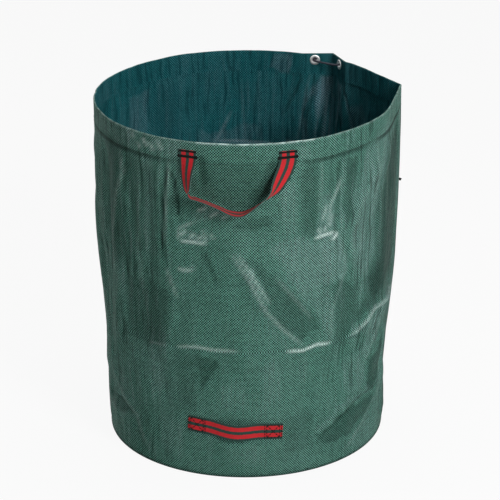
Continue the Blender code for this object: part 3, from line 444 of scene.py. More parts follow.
# Areas of the wall between folds that catch the light or lie in shade, as
# corners of (azimuth in degrees, height), strength (shade below 0) and softness.
AREAS = [(in_metres(corners), strength, softness / MM) for corners, strength, softness in (
    ([(-141, 455), (-131, 462), (-123, 440), (-120.4, 430), (-120.4, 302), (-134, 300), (-142, 300)], -0.42, 10),
    ([(-157, 760), (-140, 760), (-139, 500), (-146, 470), (-157, 520)], -0.45, 20),
    ([(-140, 740), (-131, 740), (-130.5, 520), (-139, 500)], -0.25, 12),
    ([(-129.5, 745), (-123.5, 745), (-124, 520), (-129, 520)], 0.3, 6),
    ([(-111, 296), (-100.8, 299), (-105, 250), (-108.5, 214)], -0.48, 5),
    ([(-119.5, 285), (-112, 285), (-111, 160), (-118.5, 150)], -0.35, 10),
    ([(-132.5, 295), (-124, 300), (-125.5, 200), (-131.5, 170)], 0.3, 8),
    ([(-116.5, 566), (-104.5, 567), (-104.5, 578), (-107, 590), (-113, 600), (-115, 590)], 0.6, 7),
    ([(-117, 494), (-111, 495), (-111, 508), (-116.5, 506)], 0.65, 4),
    ([(-111, 622), (-97.5, 622), (-99, 650), (-105, 655), (-111, 645)], 0.5, 6),
    ([(-95, 610), (-80, 610), (-80, 634), (-93, 636)], -0.4, 6),
    ([(-95.8, 556), (-94, 556), (-86.6, 492), (-81, 400), (-71.8, 318), (-74, 312), (-82, 388), (-89, 480)], 0.24, 5),
    ([(-89.5, 512), (-87.6, 512), (-86.6, 494), (-88.3, 489)], 0.95, 4),
    ([(-91, 545), (-83.5, 525), (-70, 425), (-62, 335), (-69.5, 325), (-78.5, 405), (-84.5, 490)], -0.42, 5),
    ([(-81, 555), (-76, 565), (-64, 563), (-52.5, 560), (-48.8, 478), (-52.5, 455), (-60, 450), (-66.5, 430),
      (-69, 425)], 0.62, 8),
    ([(-69, 425), (-60.5, 447), (-55.7, 440), (-55.7, 305), (-59.5, 305), (-60.5, 340)], 0.4, 5),
    ([(-55.2, 450), (-47, 450), (-41, 400), (-41, 330), (-47, 305), (-55.2, 305)], -0.4, 6),
    ([(-64.5, 575), (-54, 577), (-53.8, 640), (-57.5, 672), (-61.5, 655)], 0.6, 6),
    ([(-69.5, 730), (-64.5, 730), (-64, 575), (-69.5, 570)], -0.4, 6),
    ([(-77.5, 700), (-71.5, 700), (-70.5, 580), (-76, 570)], 0.35, 6),
    ([(-53.2, 745), (-51.3, 745), (-51.3, 600), (-52.8, 580)], -0.5, 4),
    ([(-50.8, 745), (-49.4, 745), (-49, 600), (-50.4, 590)], 0.6, 3),
    ([(-48.6, 745), (-44.8, 725), (-46.8, 600), (-48.8, 570)], -0.5, 4),
    ([(-33, 745), (-18, 775), (-20, 700), (-25.5, 620), (-28, 550), (-29, 480), (-33, 440), (-40, 440), (-44, 500),
      (-46.8, 560), (-46.2, 640), (-40, 690)], 0.52, 12),
    ([(-26, 600), (-19, 720), (-12, 735), (2, 735), (3, 360), (-12, 370), (-30, 360), (-33, 420), (-28, 470)],
      -0.8, 26),
    ([(-18, 360), (6, 360), (6, 10), (-14, 10), (-12, 200)], -0.5, 26),
    ([(-46.7, 302), (-39.6, 320), (-25.6, 343), (-16, 346), (-7, 338), (1.6, 305), (1, 280), (-9, 305), (-20, 300),
      (-27, 270), (-33, 235), (-38, 240), (-32, 290), (-40, 302)], 0.5, 6),
    ([(6, 360), (-8, 352), (-29, 358), (-39, 336), (-45, 324), (-38, 370), (-20, 410), (6, 410)], -0.5, 10),
    ([(-47, 250), (-36, 250), (-33, 160), (-44, 150)], 0.35, 10),
    ([(-31, 225), (-20.3, 255), (-22, 190), (-25.5, 150), (-32, 155)], -0.6, 4),
    ([(-19.8, 250), (-9, 250), (-8, 60), (-22, 20), (-27, 20), (-25.8, 100), (-22.5, 165)], 0.25, 6),
    ([(-60, 88), (-47.8, 116), (-38, 138), (-26, 148), (-30, 165), (-44, 145), (-60, 105)], 0.5, 4),
    ([(-60, 83), (-47.8, 110), (-38, 131), (-26, 142), (-27.5, 118), (-38, 90), (-47, 45), (-56, 55)], -0.5, 5),
    ([(-28.5, 112), (-38, 78), (-47, 30), (-30, 10), (-26, 30)], 0.35, 5),
    ([(-160, 195), (-150, 190), (-141, 130), (-139, 90), (-147, 75), (-158, 90)], 0.3, 12),
    ([(-170, 125), (-160, 112), (-150, 118), (-143, 100), (-150, 85), (-165, 90)], -0.4, 6),
    ([(-108, 750), (-82, 750), (-82, 660), (-95, 640), (-107, 670)], -0.28, 10),
    ([(-107.6, 768), (-104, 758), (-103.2, 705), (-106.2, 700), (-107.6, 730)], -0.7, 6),
    ([(-79.5, 765), (-77, 750), (-79.5, 705), (-86, 665), (-89, 680), (-84, 725)], -0.6, 7),
    ([(-100, 240), (-92, 250), (-90, 170), (-99, 180)], 0.3, 12),
    ([(-84, 280), (-78, 285), (-76, 190), (-85, 160)], 0.35, 10),
    ([(-128, 130), (-118, 120), (-119, 50), (-128, 60)], 0.35, 12),
    ([(-76, 130), (-64, 150), (-60, 60), (-74, 50)], -0.25, 12),
    ([(-98, 70), (-84, 70), (-84, 30), (-98, 30)], 0.25, 12),
    ([(-120.5, 790), (-113.5, 790), (-114.5, 752), (-119.5, 752)], 0.45, 5),
    ([(-70.5, 785), (-66.5, 780), (-65, 750), (-69.5, 750)], 0.4, 5),
    ([(69.5, 790), (77, 790), (79, 756), (74, 742), (70, 745)], 0.85, 4),
    ([(-70, 280), (-67.5, 280), (-66.8, 215), (-69, 215)], 0.35, 4),
    ([(-165, 792), (-134, 792), (-134, 753), (-165, 753)], 0.35, 6),
    ([(-128, 792), (-122, 792), (-121, 755), (-128, 755)], 0.3, 6),
    ([(-108, 791.5), (-64, 791.5), (-64, 800), (-108, 800)], 1, 3),
    ([(24, 560), (34, 700), (42, 690), (38, 520), (30, 380)], 0.5, 8),
    ([(56, 742), (60.5, 742), (63.5, 660), (60.5, 700), (58, 640)], 1, 4),
    ([(49.5, 742), (52.8, 742), (51, 630), (49, 690), (46, 640)], 1, 4),
    ([(53.5, 700), (55, 700), (55.5, 560), (53, 560)], 0.6, 4),
    ([(62, 640), (65, 640), (66, 520), (60, 500)], 0.55, 7),
    ([(66, 560), (80, 530), (88, 380), (82, 320), (70, 420)], -0.38, 16),
    ([(84, 600), (108, 600), (112, 450), (96, 360), (90, 440)], 0.5, 6),
    ([(70, 300), (92, 300), (98, 180), (84, 110)], -0.38, 16),
    ([(100, 290), (120, 300), (128, 200), (116, 80), (104, 140)], 0.45, 6),
    ([(118, 720), (127, 720), (130, 560), (122, 480)], -0.38, 16),
    ([(131, 720), (141, 720), (144, 520), (134, 440)], 0.5, 6),
    ([(140, 300), (160, 300), (164, 180), (148, 120)], 0.45, 8),
    ([(148, 560), (162, 600), (168, 460), (156, 380)], -0.38, 16),
    ([(168, 720), (178, 720), (182, 500), (172, 420)], 0.4, 6), ([(14, 300), (30, 290), (34, 140), (20, 60)], 0.45, 8),
    ([(36, 280), (56, 300), (60, 160), (44, 110)], -0.38, 16),
)]


def area_share(corners, softness, azimuth, height):
    """1 inside an area of the wall, fading to 0 over its softness outside."""
    radius = shape().rim_radius
    middle = math.radians(sum(corner[0] for corner in corners) / len(corners))
    east = turn_from(azimuth, middle) * radius
    points = [(turn_from(math.radians(a), middle) * radius, z) for a, z in corners]
    nearest = np.full(east.shape, 1e9)
    inside = np.zeros(east.shape, bool)
    for (x1, z1), (x2, z2) in zip(points, points[1:] + points[:1]):
        dx, dz = x2 - x1, z2 - z1
        along = np.clip(((east - x1) * dx + (height - z1) * dz) / (dx * dx + dz * dz), 0.0, 1.0)
        nearest = np.minimum(nearest, np.hypot(east - x1 - along * dx, height - z1 - along * dz))
        if dz:
            crosses = ((z1 > height) != (z2 > height)) & (east < x1 + dx * (height - z1) / dz)
            inside ^= crosses
    away = np.where(inside, -nearest, nearest)
    return smooth_step(0.5 - 0.5 * away / softness)


def area_tones(azimuth, height):
    """How much the wall catches the light, and how much it lies in shade."""
    lit = np.zeros(np.shape(azimuth))
    shade = np.zeros(np.shape(azimuth))
    below_hem = 1.0 - beyond(height, HEM_LOW, 0.020)
    sideways = 3.6 * crinkle(azimuth + 1.0, height) / shape().rim_radius
    upwards = 3.6 * crinkle(azimuth + 2.0, height)
    azimuth, height = azimuth + sideways * below_hem, height + upwards * below_hem
    for corners, strength, softness in AREAS:
        share = abs(strength) * area_share(corners, softness, azimuth, height)
        if strength > 0.0:
            lit = np.maximum(lit, share)
        else:
            shade = np.maximum(shade, share)
    return lit, shade


def packing_folds():
    """Creases on the sides and back, from the same flat packing as the front's."""
    chance = random.Random(11)
    folds = []
    azimuth = 24.0
    while azimuth < 184.0:
        wide = chance.uniform(12.0, 26.0)
        for level in (FOLD_HEIGHT, UPPER_FOLD_HEIGHT):
            tilt = chance.uniform(-0.006, 0.006)
            route = [(azimuth, level + tilt), (azimuth + 0.5 * wide, level), (azimuth + wide, level - tilt)]
            folds.append(Fold(route, chance.uniform(0.0014, 0.0024), 0.009, 0.005, chance.uniform(0.2, 0.7)))
        azimuth += wide + chance.uniform(4.0, 16.0)
    azimuth = 20.0
    sign = 1.0
    while azimuth < 190.0:
        low = chance.uniform(0.06, 0.42)
        high = min(FOLD_TOP, low + chance.uniform(0.18, 0.42))
        lean = chance.uniform(-5.0, 5.0)
        route = [(azimuth, high), (azimuth + 0.6 * lean, 0.5 * (low + high)), (azimuth + lean, low)]
        folds.append(Fold(route, sign * chance.uniform(0.0014, 0.0028), chance.uniform(0.008, 0.020),
                          chance.uniform(0.007, 0.014), chance.uniform(0.0, 0.25)))
        azimuth += chance.uniform(6.0, 13.0)
        sign = -sign
    for _ in range(7):
        start = chance.uniform(30.0, 160.0)
        high = chance.uniform(0.38, 0.70)
        route = [(start, high), (start + chance.uniform(-22.0, 22.0), high - chance.uniform(0.10, 0.22))]
        folds.append(Fold(route, chance.uniform(0.0016, 0.0030), 0.020, 0.006, 0.3))
    return folds


def pleat_folds():
    """Folds that fan down from the pleat that the cord draws in."""
    middle = math.degrees(shape().pleat_azimuth)
    foot = math.degrees(pleat_foot_angle())
    folds = [
        Fold([(middle - foot, 0.742), (middle - 0.4 * foot, 0.560)], -0.0050, 0.012, 0.016, -0.5),
        Fold([(middle + foot, 0.742), (middle + 0.4 * foot, 0.560)], -0.0050, 0.016, 0.012, -0.3),
        Fold([(middle, 0.742), (middle - 1.5, 0.500)], 0.0040, 0.012, 0.012, 0.2),
    ]
    for start, end, low, push in (
            (-8.0, -17.0, 0.600, 0.0040), (-6.2, -11.0, 0.540, -0.0040), (-4.2, -6.5, 0.500, 0.0036),
            (-2.2, -4.0, 0.620, -0.0034), (2.0, 2.4, 0.560, -0.0036), (3.6, 5.0, 0.520, 0.0040),
            (5.6, 8.5, 0.600, -0.0040), (7.6, 13.0, 0.560, 0.0042), (9.4, 18.0, 0.640, -0.0034)):
        route = [(middle + start, PLEAT_FOLD_TOP), (middle + 0.5 * (start + end), 0.5 * (PLEAT_FOLD_TOP + low)),
                 (middle + end, low)]
        folds.append(Fold(route, push, 0.006, 0.006, 0.16 if push > 0 else -0.5))
    return folds


def crinkle(azimuth, height):
    """Soft unevenness all over the cloth, in waves that run more upright than level."""
    chance = random.Random(5)
    sideways = azimuth * shape().rim_radius
    push = np.zeros(azimuth.shape)
    waves = 26
    for wave in range(waves):
        fine = wave / (waves - 1)
        across = 0.34 * (1.0 - fine) ** 1.5 + 0.026
        turns = max(1, round(math.tau * shape().rim_radius / across))
        up = across * chance.uniform(1.6, 6.0) * chance.choice((-1.0, 1.0))
        shift = chance.uniform(0.0, math.tau)
        swing = 0.25 * np.sin(azimuth * chance.choice((1, 2, 3)) + 9.0 * height + shift)
        phase = turns * sideways / shape().rim_radius + math.tau * height / up + shift + 4.0 * swing
        push += (0.00060 * (1.0 - fine) + 0.00020) * np.sin(phase)
    return push


def calm_share(azimuth, height):
    """1 on the free wall, falling in the hem and to 0 behind what is sewn on."""
    sizes = shape()
    share = beyond(height, 0.006, 0.040)
    share = share * (1.0 - 0.60 * beyond(height, HEM_LOW - 0.030, 0.030))
    near_hem = beyond(height, HEM_LOW - 0.020, 0.018)
    for middle in (front_azimuth(), front_azimuth() + math.pi):
        for side in (-1.0, 1.0):
            away = np.abs(turn_from(azimuth, middle + side * tab_angle())) * sizes.rim_radius
            share = share * (1.0 - near_hem * (1.0 - beyond(away, 0.021, 0.020)))
    away = np.abs(turn_from(azimuth, sizes.pleat_azimuth)) * sizes.rim_radius
    share = share * (1.0 - near_hem * (1.0 - beyond(away, 0.060, 0.020)))
    seam = np.abs(turn_from(azimuth, sizes.seam_azimuth)) * sizes.rim_radius
    share = share * (0.25 + 0.75 * beyond(seam, 0.004, 0.030))
    behind = beyond(height, 0.070, 0.024) * (1.0 - beyond(height, 0.148, 0.024))
    grip = np.abs(turn_from(azimuth, grip_azimuth())) * sizes.rim_radius
    return share * (1.0 - behind * (1.0 - beyond(grip, 0.108, 0.030)))


_folds = []


def all_folds():
    """Every fold of the wall, made once."""
    if not _folds:
        _folds.extend(FRONT_FOLDS + packing_folds() + pleat_folds())
    return _folds


def crease_share(azimuth, height):
    """How finely creased the wall is: little on its flat front, most at its sides."""
    away = np.abs(turn_from(azimuth, math.radians(-88.0)))
    share = 0.12 + 0.88 * beyond(away, math.radians(22.0), math.radians(24.0))
    return share * (0.50 + 0.50 * beyond(height, 0.10, 0.20))


def cloth_push(azimuth, height):
    """How far folds push the cloth out, how pale their marks are, partly from strain and partly painted highlight, and
    how much painted shade lies in their creases.
    """
    push = crinkle(azimuth, height)
    white = np.zeros(azimuth.shape)
    soil = np.zeros(azimuth.shape)
    for fold in all_folds():
        out, mark = fold.measure(azimuth, height)
        push = push + out
        white = np.maximum(white, mark)
        soil = np.maximum(soil, -mark)
    return push * calm_share(azimuth, height), white, soil


def wall_place(azimuth, height, inset=0.0):
    """Places of the folded wall as x, y and z, its pale fold marks, partly painted highlight, and the painted shade in
    its creases.
    """
    azimuth, height = np.broadcast_arrays(np.asarray(azimuth, float), np.asarray(height, float))
    push, white, soil = cloth_push(azimuth, height)
    radius = outline_radius(azimuth, height) + push - inset
    return np.stack([radius * np.cos(azimuth), radius * np.sin(azimuth), height], -1), white, soil


def wall_point(azimuth, height):
    """One point of the folded wall."""
    return Vector(wall_place(np.array([azimuth]), np.array([height]))[0][0])


# Building with operators

def deselect_all():
    """Leave edit mode and let go of every object."""
    if bpy.context.object and bpy.context.object.mode != "OBJECT":
        bpy.ops.object.mode_set(mode="OBJECT")
    bpy.ops.object.select_all(action="DESELECT")


def take_up(item):
    """Make an object the only selected and active one."""
    deselect_all()
    item.select_set(True)
    bpy.context.view_layer.objects.active = item


def coordinates(item):
    """An object's vertex places as an array."""
    places = np.empty(len(item.data.vertices) * 3)
    item.data.vertices.foreach_get("co", places)
    return places.reshape(-1, 3)


def place_vertices(item, places):
    """Put an object's vertices at the rows of an array."""
    item.data.vertices.foreach_set("co", np.ascontiguousarray(places, float).ravel())
    item.data.update()


@contextmanager
def editing(item, select="SELECT"):
    """Edit mode on one object, with its mesh selected, deselected or left as it is."""
    take_up(item)
    bpy.ops.object.mode_set(mode="EDIT")
    if select:
        bpy.ops.mesh.select_all(action=select)
    yield
    bpy.ops.object.mode_set(mode="OBJECT")


def merge_doubles(item, distance=0.00001):
    """Merge vertices that lie on each other."""
    with editing(item):
        bpy.ops.mesh.remove_doubles(threshold=distance)


def normals_out(item):
    """Turn an object's faces outwards."""
    with editing(item):
        bpy.ops.mesh.normals_make_consistent(inside=False)


def smooth_by_angle(item, degrees):
    """Shade smooth except over edges sharper than an angle."""
    take_up(item)
    bpy.ops.object.shade_smooth_by_angle(angle=math.radians(degrees))


def apply_modifiers(item):
    """Apply all of an object's modifiers."""
    take_up(item)
    for name in [modifier.name for modifier in item.modifiers]:
        bpy.ops.object.modifier_apply(modifier=name)


def thicken(item, thickness, offset=-1.0, second=0, edge=0):
    """Give a sheet its thickness; second and edge are steps in its list of materials."""
    solid = item.modifiers.new("thickness", "SOLIDIFY")
    solid.thickness = thickness
    solid.offset = offset
    solid.use_even_offset = True
    solid.material_offset = second
    solid.material_offset_rim = edge
    apply_modifiers(item)


def add_sheet(name, across, along):
    """A flat sheet of so many strips, with the strip numbers of its vertices."""
    deselect_all()
    bpy.ops.mesh.primitive_grid_add(x_subdivisions=across, y_subdivisions=along, size=1.0)
    sheet = bpy.context.object
    sheet.name = name
    flat = coordinates(sheet)
    column = np.rint((flat[:, 0] + 0.5) * across).astype(int)
    row = np.rint((flat[:, 1] + 0.5) * along).astype(int)
    return sheet, column, row


def lay_sheet(sheet, column, row, places, lengths):
    """Move a sheet to places and its UV map to lengths in metres.

    places and lengths are arrays by column and row.
    """
    place_vertices(sheet, places[column, row])
    corners = np.empty(len(sheet.data.loops), int)
    sheet.data.loops.foreach_get("vertex_index", corners)
    flat = lengths[column[corners], row[corners]]
    sheet.data.uv_layers[0].name = "cloth"
    sheet.data.uv_layers["cloth"].uv.foreach_set("vector", np.ascontiguousarray(flat).ravel())


def paint(sheet, column, row, **values):
    """Keep numbers of a sheet's vertices, such as its whitening from strain, its painted highlights and its painted
    shade.
    """
    for name, amount in values.items():
        layer = sheet.data.attributes.new(name, "FLOAT", "POINT")
        layer.data.foreach_set("value", np.ascontiguousarray(amount[column, row], float))


def finish_piece(item, materials):
    """Give a finished piece its materials."""
    item.data.materials.clear()
    for material in materials:
        item.data.materials.append(material)
    return item


# Shader building

def new_material(name):
    """A material with its tree and its Principled shader."""
    material = bpy.data.materials.get(name)
    if material is not None:
        return material, None, None
    material = bpy.data.materials.new(name)
    material.use_nodes = True
    tree = material.node_tree
    return material, tree, tree.nodes["Principled BSDF"]


def feed(tree, socket, value):
    """Link a socket to an input, or set the input's own value."""
    if isinstance(value, bpy.types.NodeSocket):
        tree.links.new(value, socket)
    elif socket.type == "RGBA" and len(value) == 3:
        socket.default_value = (*value, 1.0)
    else:
        socket.default_value = value


def feed_all(tree, node, **values):
    """Feed a node's inputs by name, with _ for each space in a name."""
    for name, value in values.items():
        feed(tree, node.inputs[name.replace("_", " ")], value)
    return node


def maths(tree, operation, *values):
    """A Math node's output."""
    node = tree.nodes.new("ShaderNodeMath")
    node.operation = operation
    for socket, value in zip(node.inputs, values):
        feed(tree, socket, value)
    return node.outputs[0]


def times(tree, first, second):
    """The product of two numbers."""
    return maths(tree, "MULTIPLY", first, second)


def mix_colours(tree, share, first, second, blend="MIX"):
    """A colour Mix node's output."""
    node = tree.nodes.new("ShaderNodeMix")
    node.data_type = "RGBA"
    node.blend_type = blend
    feed(tree, node.inputs["Factor"], share)
    feed(tree, node.inputs[6], first)
    feed(tree, node.inputs[7], second)
    return node.outputs[2]


def mix_values(tree, share, first, second):
    """A number Mix node's output."""
    node = tree.nodes.new("ShaderNodeMix")
    node.data_type = "FLOAT"
    feed(tree, node.inputs["Factor"], share)
    feed(tree, node.inputs[2], first)
    feed(tree, node.inputs[3], second)
    return node.outputs[0]


def remap(tree, value, low, high, to_low=0.0, to_high=1.0):
    """A clamped Map Range node's output."""
    node = tree.nodes.new("ShaderNodeMapRange")
    feed_all(tree, node, Value=value, From_Min=low, From_Max=high, To_Min=to_low, To_Max=to_high)
    return node.outputs["Result"]


def noise(tree, vector, scales, detail=3.0, roughness=0.55):
    """A noise texture's value, with a scale for each axis of its vector."""
    place = feed_all(tree, tree.nodes.new("ShaderNodeMapping"), Vector=vector, Scale=scales)
    node = tree.nodes.new("ShaderNodeTexNoise")
    feed_all(tree, node, Vector=place.outputs["Vector"], Scale=1.0, Detail=detail, Roughness=roughness)
    return node.outputs["Fac"]


def bump(tree, height, distance, strength=1.0, normal=None):
    """A Bump node's normal."""
    node = tree.nodes.new("ShaderNodeBump")
    feed_all(tree, node, Height=height, Distance=distance, Strength=strength)
    if normal is not None:
        feed(tree, node.inputs["Normal"], normal)
    return node.outputs["Normal"]


def uv_map(tree):
    """The vector of a sheet's UV map, in metres of cloth."""
    node = tree.nodes.new("ShaderNodeUVMap")
    node.uv_map = "cloth"
    return node.outputs["UV"]


def object_place(tree):
    """The Object coordinates."""
    return tree.nodes.new("ShaderNodeTexCoord").outputs["Object"]


def attribute(tree, name):
    """A number kept on the mesh."""
    node = tree.nodes.new("ShaderNodeAttribute")
    node.attribute_name = name
    return node.outputs["Fac"]


def split(tree, vector):
    """The x, y and z of a vector."""
    node = tree.nodes.new("ShaderNodeSeparateXYZ")
    feed(tree, node.inputs["Vector"], vector)
    return node.outputs["X"], node.outputs["Y"], node.outputs["Z"]


def use_group(tree, group, **values):
    """The outputs of a group node whose inputs are fed by name."""
    node = tree.nodes.new("ShaderNodeGroup")
    node.node_tree = group
    return feed_all(tree, node, **values).outputs


def start_group(name, outputs, **sizes):
    """A node group that takes a Vector and sizes, and puts out numbers."""
    group = bpy.data.node_groups.new(name, "ShaderNodeTree")
    group.interface.new_socket("Vector", in_out="INPUT", socket_type="NodeSocketVector")
    for label, default in sizes.items():
        group.interface.new_socket(label, in_out="INPUT", socket_type="NodeSocketFloat").default_value = default
    for label in outputs:
        group.interface.new_socket(label, in_out="OUTPUT", socket_type="NodeSocketFloat")
    return group, group.nodes.new("NodeGroupInput").outputs, group.nodes.new("NodeGroupOutput")


def woven_tapes():
    """Flat tapes in plain weave: which tape is on top, its height and its tone."""
    group = bpy.data.node_groups.get("woven tapes")
    if group is not None:
        return group
    group, given, made = start_group("woven tapes", ("Height", "Upright", "Tone", "Crossing", "Spot"), Tape=0.0024)
    east, north, _ = split(group, given["Vector"])
    column = maths(group, "DIVIDE", east, given["Tape"])
    row = maths(group, "DIVIDE", north, given["Tape"])
    whole_column = maths(group, "FLOOR", column)
    whole_row = maths(group, "FLOOR", row)
    upright = maths(group, "FLOORED_MODULO", maths(group, "ADD", whole_column, whole_row), 2.0)
    part_column = maths(group, "SUBTRACT", column, whole_column)
    part_row = maths(group, "SUBTRACT", row, whole_row)
    across = mix_values(group, upright, part_row, part_column)
    along = mix_values(group, upright, part_column, part_row)
    arch = maths(group, "SINE", times(group, along, math.pi))
    off_middle = maths(group, "ABSOLUTE", maths(group, "SUBTRACT", times(group, across, 2.0), 1.0))
    edge = maths(group, "POWER", off_middle, 5.0)
    height = times(group, arch, maths(group, "SUBTRACT", 1.0, edge))
    tones = []
    for number, seed in ((whole_row, 3.7), (whole_column, 8.1)):
        tone = group.nodes.new("ShaderNodeTexWhiteNoise")
        tone.noise_dimensions = "1D"
        feed(group, tone.inputs["W"], maths(group, "ADD", number, seed))
        tones.append(tone.outputs["Value"])
    cell = group.nodes.new("ShaderNodeCombineXYZ")
    feed(group, cell.inputs[0], whole_column)
    feed(group, cell.inputs[1], whole_row)
    spot = group.nodes.new("ShaderNodeTexWhiteNoise")
    spot.noise_dimensions = "2D"
    feed(group, spot.inputs["Vector"], cell.outputs[0])
    feed_all(group, made, Height=height, Upright=upright, Tone=mix_values(group, upright, *tones), Crossing=arch,
             Spot=spot.outputs["Value"])
    return group


def cloth_wear():
    """Noise for painted sheen patches and upright highlight streaks, and for the crinkles and creases of handled
    plastic cloth.
    """
    group = bpy.data.node_groups.get("cloth wear")
    if group is not None:
        return group
    group, given, made = start_group("cloth wear", ("Haze", "Streaks", "Crinkle", "Creases"))
    patches = noise(group, given["Vector"], (5.0, 3.0, 4.0), 4.0, 0.6)
    streaks = noise(group, given["Vector"], (62.0, 5.0, 1.0), 5.0, 0.62)
    soft = noise(group, given["Vector"], (34.0, 9.0, 1.0), 5.0, 0.60)
    sway = noise(group, given["Vector"], (7.0, 6.0, 1.0), 2.0)
    east, north, _ = split(group, given["Vector"])
    bent = group.nodes.new("ShaderNodeCombineXYZ")
    feed(group, bent.inputs[0], maths(group, "MULTIPLY_ADD", sway, 0.034, east))
    feed(group, bent.inputs[1], north)
    fine = noise(group, bent.outputs[0], (105.0, 8.0, 1.0), 3.0, 0.55)
    feed_all(group, made, Haze=remap(group, patches, 0.42, 0.72), Streaks=remap(group, streaks, 0.50, 0.74),
             Crinkle=soft, Creases=fine)
    return group


def weave_share(tree, weave):
    """How much of the lit tape colour the weave shows at a point: tapes across carry painted sheen over upright ones
    painted dark as shade.
    """
    over = mix_values(tree, weave["Upright"], 1.0, 0.0)
    flat = maths(tree, "POWER", weave["Crossing"], 0.25)
    tone = mix_values(tree, weave["Tone"], 0.88, 1.02)
    spot = mix_values(tree, weave["Spot"], 0.78, 1.22)
    return times(tree, times(tree, over, flat), times(tree, tone, spot))


def cloth_colour(tree, weave, wear, light, dark, glow, mark, ridged):
    """The weave's colour with painted light and shade: lit and shaded tapes, painted sheen and highlight streaks,
    painted shade of areas and furrows, pale fold marks partly painted highlight, and painted shade in creases.
    """
    share = weave_share(tree, weave)
    lit = attribute(tree, "bloom")
    creased = attribute(tree, "crease")
    # Painted highlight streaks, stronger where the painted light falls, and painted highlights on crinkle ridges
    streaks = times(tree, wear["Streaks"], maths(tree, "MULTIPLY_ADD", lit, 0.45, 0.10))
    ridges = times(tree, remap(tree, wear["Creases"], 0.54, 0.68), creased)
    streaks = maths(tree, "MULTIPLY_ADD", ridges, ridged, streaks)
    # Painted sheen from the painted light, soft patches and highlight streaks
    haze = maths(tree, "MULTIPLY_ADD", lit, 0.40, maths(tree, "MULTIPLY_ADD", wear["Haze"], 0.15, streaks))
    # Lit tapes with painted sheen, laid over upright tapes painted dark as shade
    tapes = mix_colours(tree, times(tree, haze, 0.9), light, glow)
    colour = mix_colours(tree, share, dark, tapes)
    colour = mix_colours(tree, times(tree, haze, 0.010), colour, glow)
    # Painted shade in crinkle furrows and in the shaded areas
    furrows = times(tree, remap(tree, wear["Creases"], 0.47, 0.36), creased)
    shade = times(tree, attribute(tree, "shade"), 0.80)
    shade = maths(tree, "MAXIMUM", shade, times(tree, furrows, 0.55))
    colour = mix_colours(tree, shade, colour, tuple(0.8 * value for value in dark))
    broken = noise(tree, uv_map(tree), (420.0, 260.0, 1.0), 2.0)
    # Pale fold marks on the lit tapes, partly whitening from strain and partly painted highlight
    stress = times(tree, attribute(tree, "stress"), remap(tree, broken, 0.36, 0.56, 0.15, 1.2))
    stress = times(tree, stress, maths(tree, "MULTIPLY_ADD", share, 0.60, 0.40))
    colour = mix_colours(tree, stress, colour, mark)
    # Painted shade in the creases
    return mix_colours(tree, times(tree, attribute(tree, "soil"), 0.85), colour, SOIL)


def finish_cloth(tree, shader, weave, wear, colour):
    """The cloth's colour, its low sheen and the relief of its tapes."""
    soft = bump(tree, wear["Crinkle"], 0.0035, 0.55)
    soft = bump(tree, times(tree, wear["Creases"], attribute(tree, "crease")), 0.0050, 0.8, soft)
    rough = remap(tree, wear["Crinkle"], 0.3, 0.7, 0.42, 0.58)
    feed_all(tree, shader, Base_Color=colour, Roughness=rough, Specular_IOR_Level=0.015,
             Normal=bump(tree, weave["Height"], 0.00035, 0.8, soft))


def soiled_foot(tree, colour):
    """The cloth darkened just above the ground."""
    _, _, height = split(tree, object_place(tree))
    return mix_colours(tree, remap(tree, height, 0.0015, 0.0085, 0.90, 0.0), colour, SOIL)


def worn_edge(tree, colour):
    """Pale chips along the mouth's edge: worn marks with a painted highlight, strongest where the painted light falls.
    """
    _, _, height = split(tree, object_place(tree))
    edge = remap(tree, height, HEM_TOP - 0.0044, HEM_TOP - 0.0010)
    chipped = noise(tree, uv_map(tree), (46.0, 160.0, 1.0), 5.0, 0.7)
    chips = remap(tree, chipped, 0.40, 0.62, 0.02, 0.80)
    lit = maths(tree, "MULTIPLY_ADD", attribute(tree, "bloom"), 0.85, 0.35)
    return mix_colours(tree, times(tree, edge, times(tree, chips, lit)), colour, cloth().stress)


def cloth_material(name, light, dark, glow, mark, ridged, lay_on=None):
    """Woven plastic cloth, with painted light, sheen and shade and pale fold marks that are partly painted highlight;
    lay_on adds to its colour.
    """
    material, tree, shader = new_material(name)
    if tree is None:
        return material
    vector = uv_map(tree)
    weave = use_group(tree, woven_tapes(), Vector=vector, Tape=cloth().tape)
    wear = use_group(tree, cloth_wear(), Vector=vector)
    colour = cloth_colour(tree, weave, wear, light, dark, glow, mark, ridged)
    finish_cloth(tree, shader, weave, wear, lay_on(tree, colour) if lay_on else colour)
    return material


def green_cloth(name, lay_on):
    """The green outer cloth with what one place of it adds."""
    return cloth_material(name, cloth().green_light, cloth().green_dark, cloth().haze, cloth().stress, 0.42, lay_on)


def outside_cloth():
    """The green outer face of the wall."""
    return green_cloth("outside_cloth", soiled_foot)


def hem_cloth():
    """The green cloth where it wraps the mouth, pale along its worn edge with a painted highlight."""
    return green_cloth("hem_cloth", worn_edge)


def lining_cloth():
    """The darker inner face of the cloth."""
    return cloth_material("lining_cloth", cloth().lining_light, cloth().lining_dark, LINING_GLOW, LINING_MARK, 0.10)


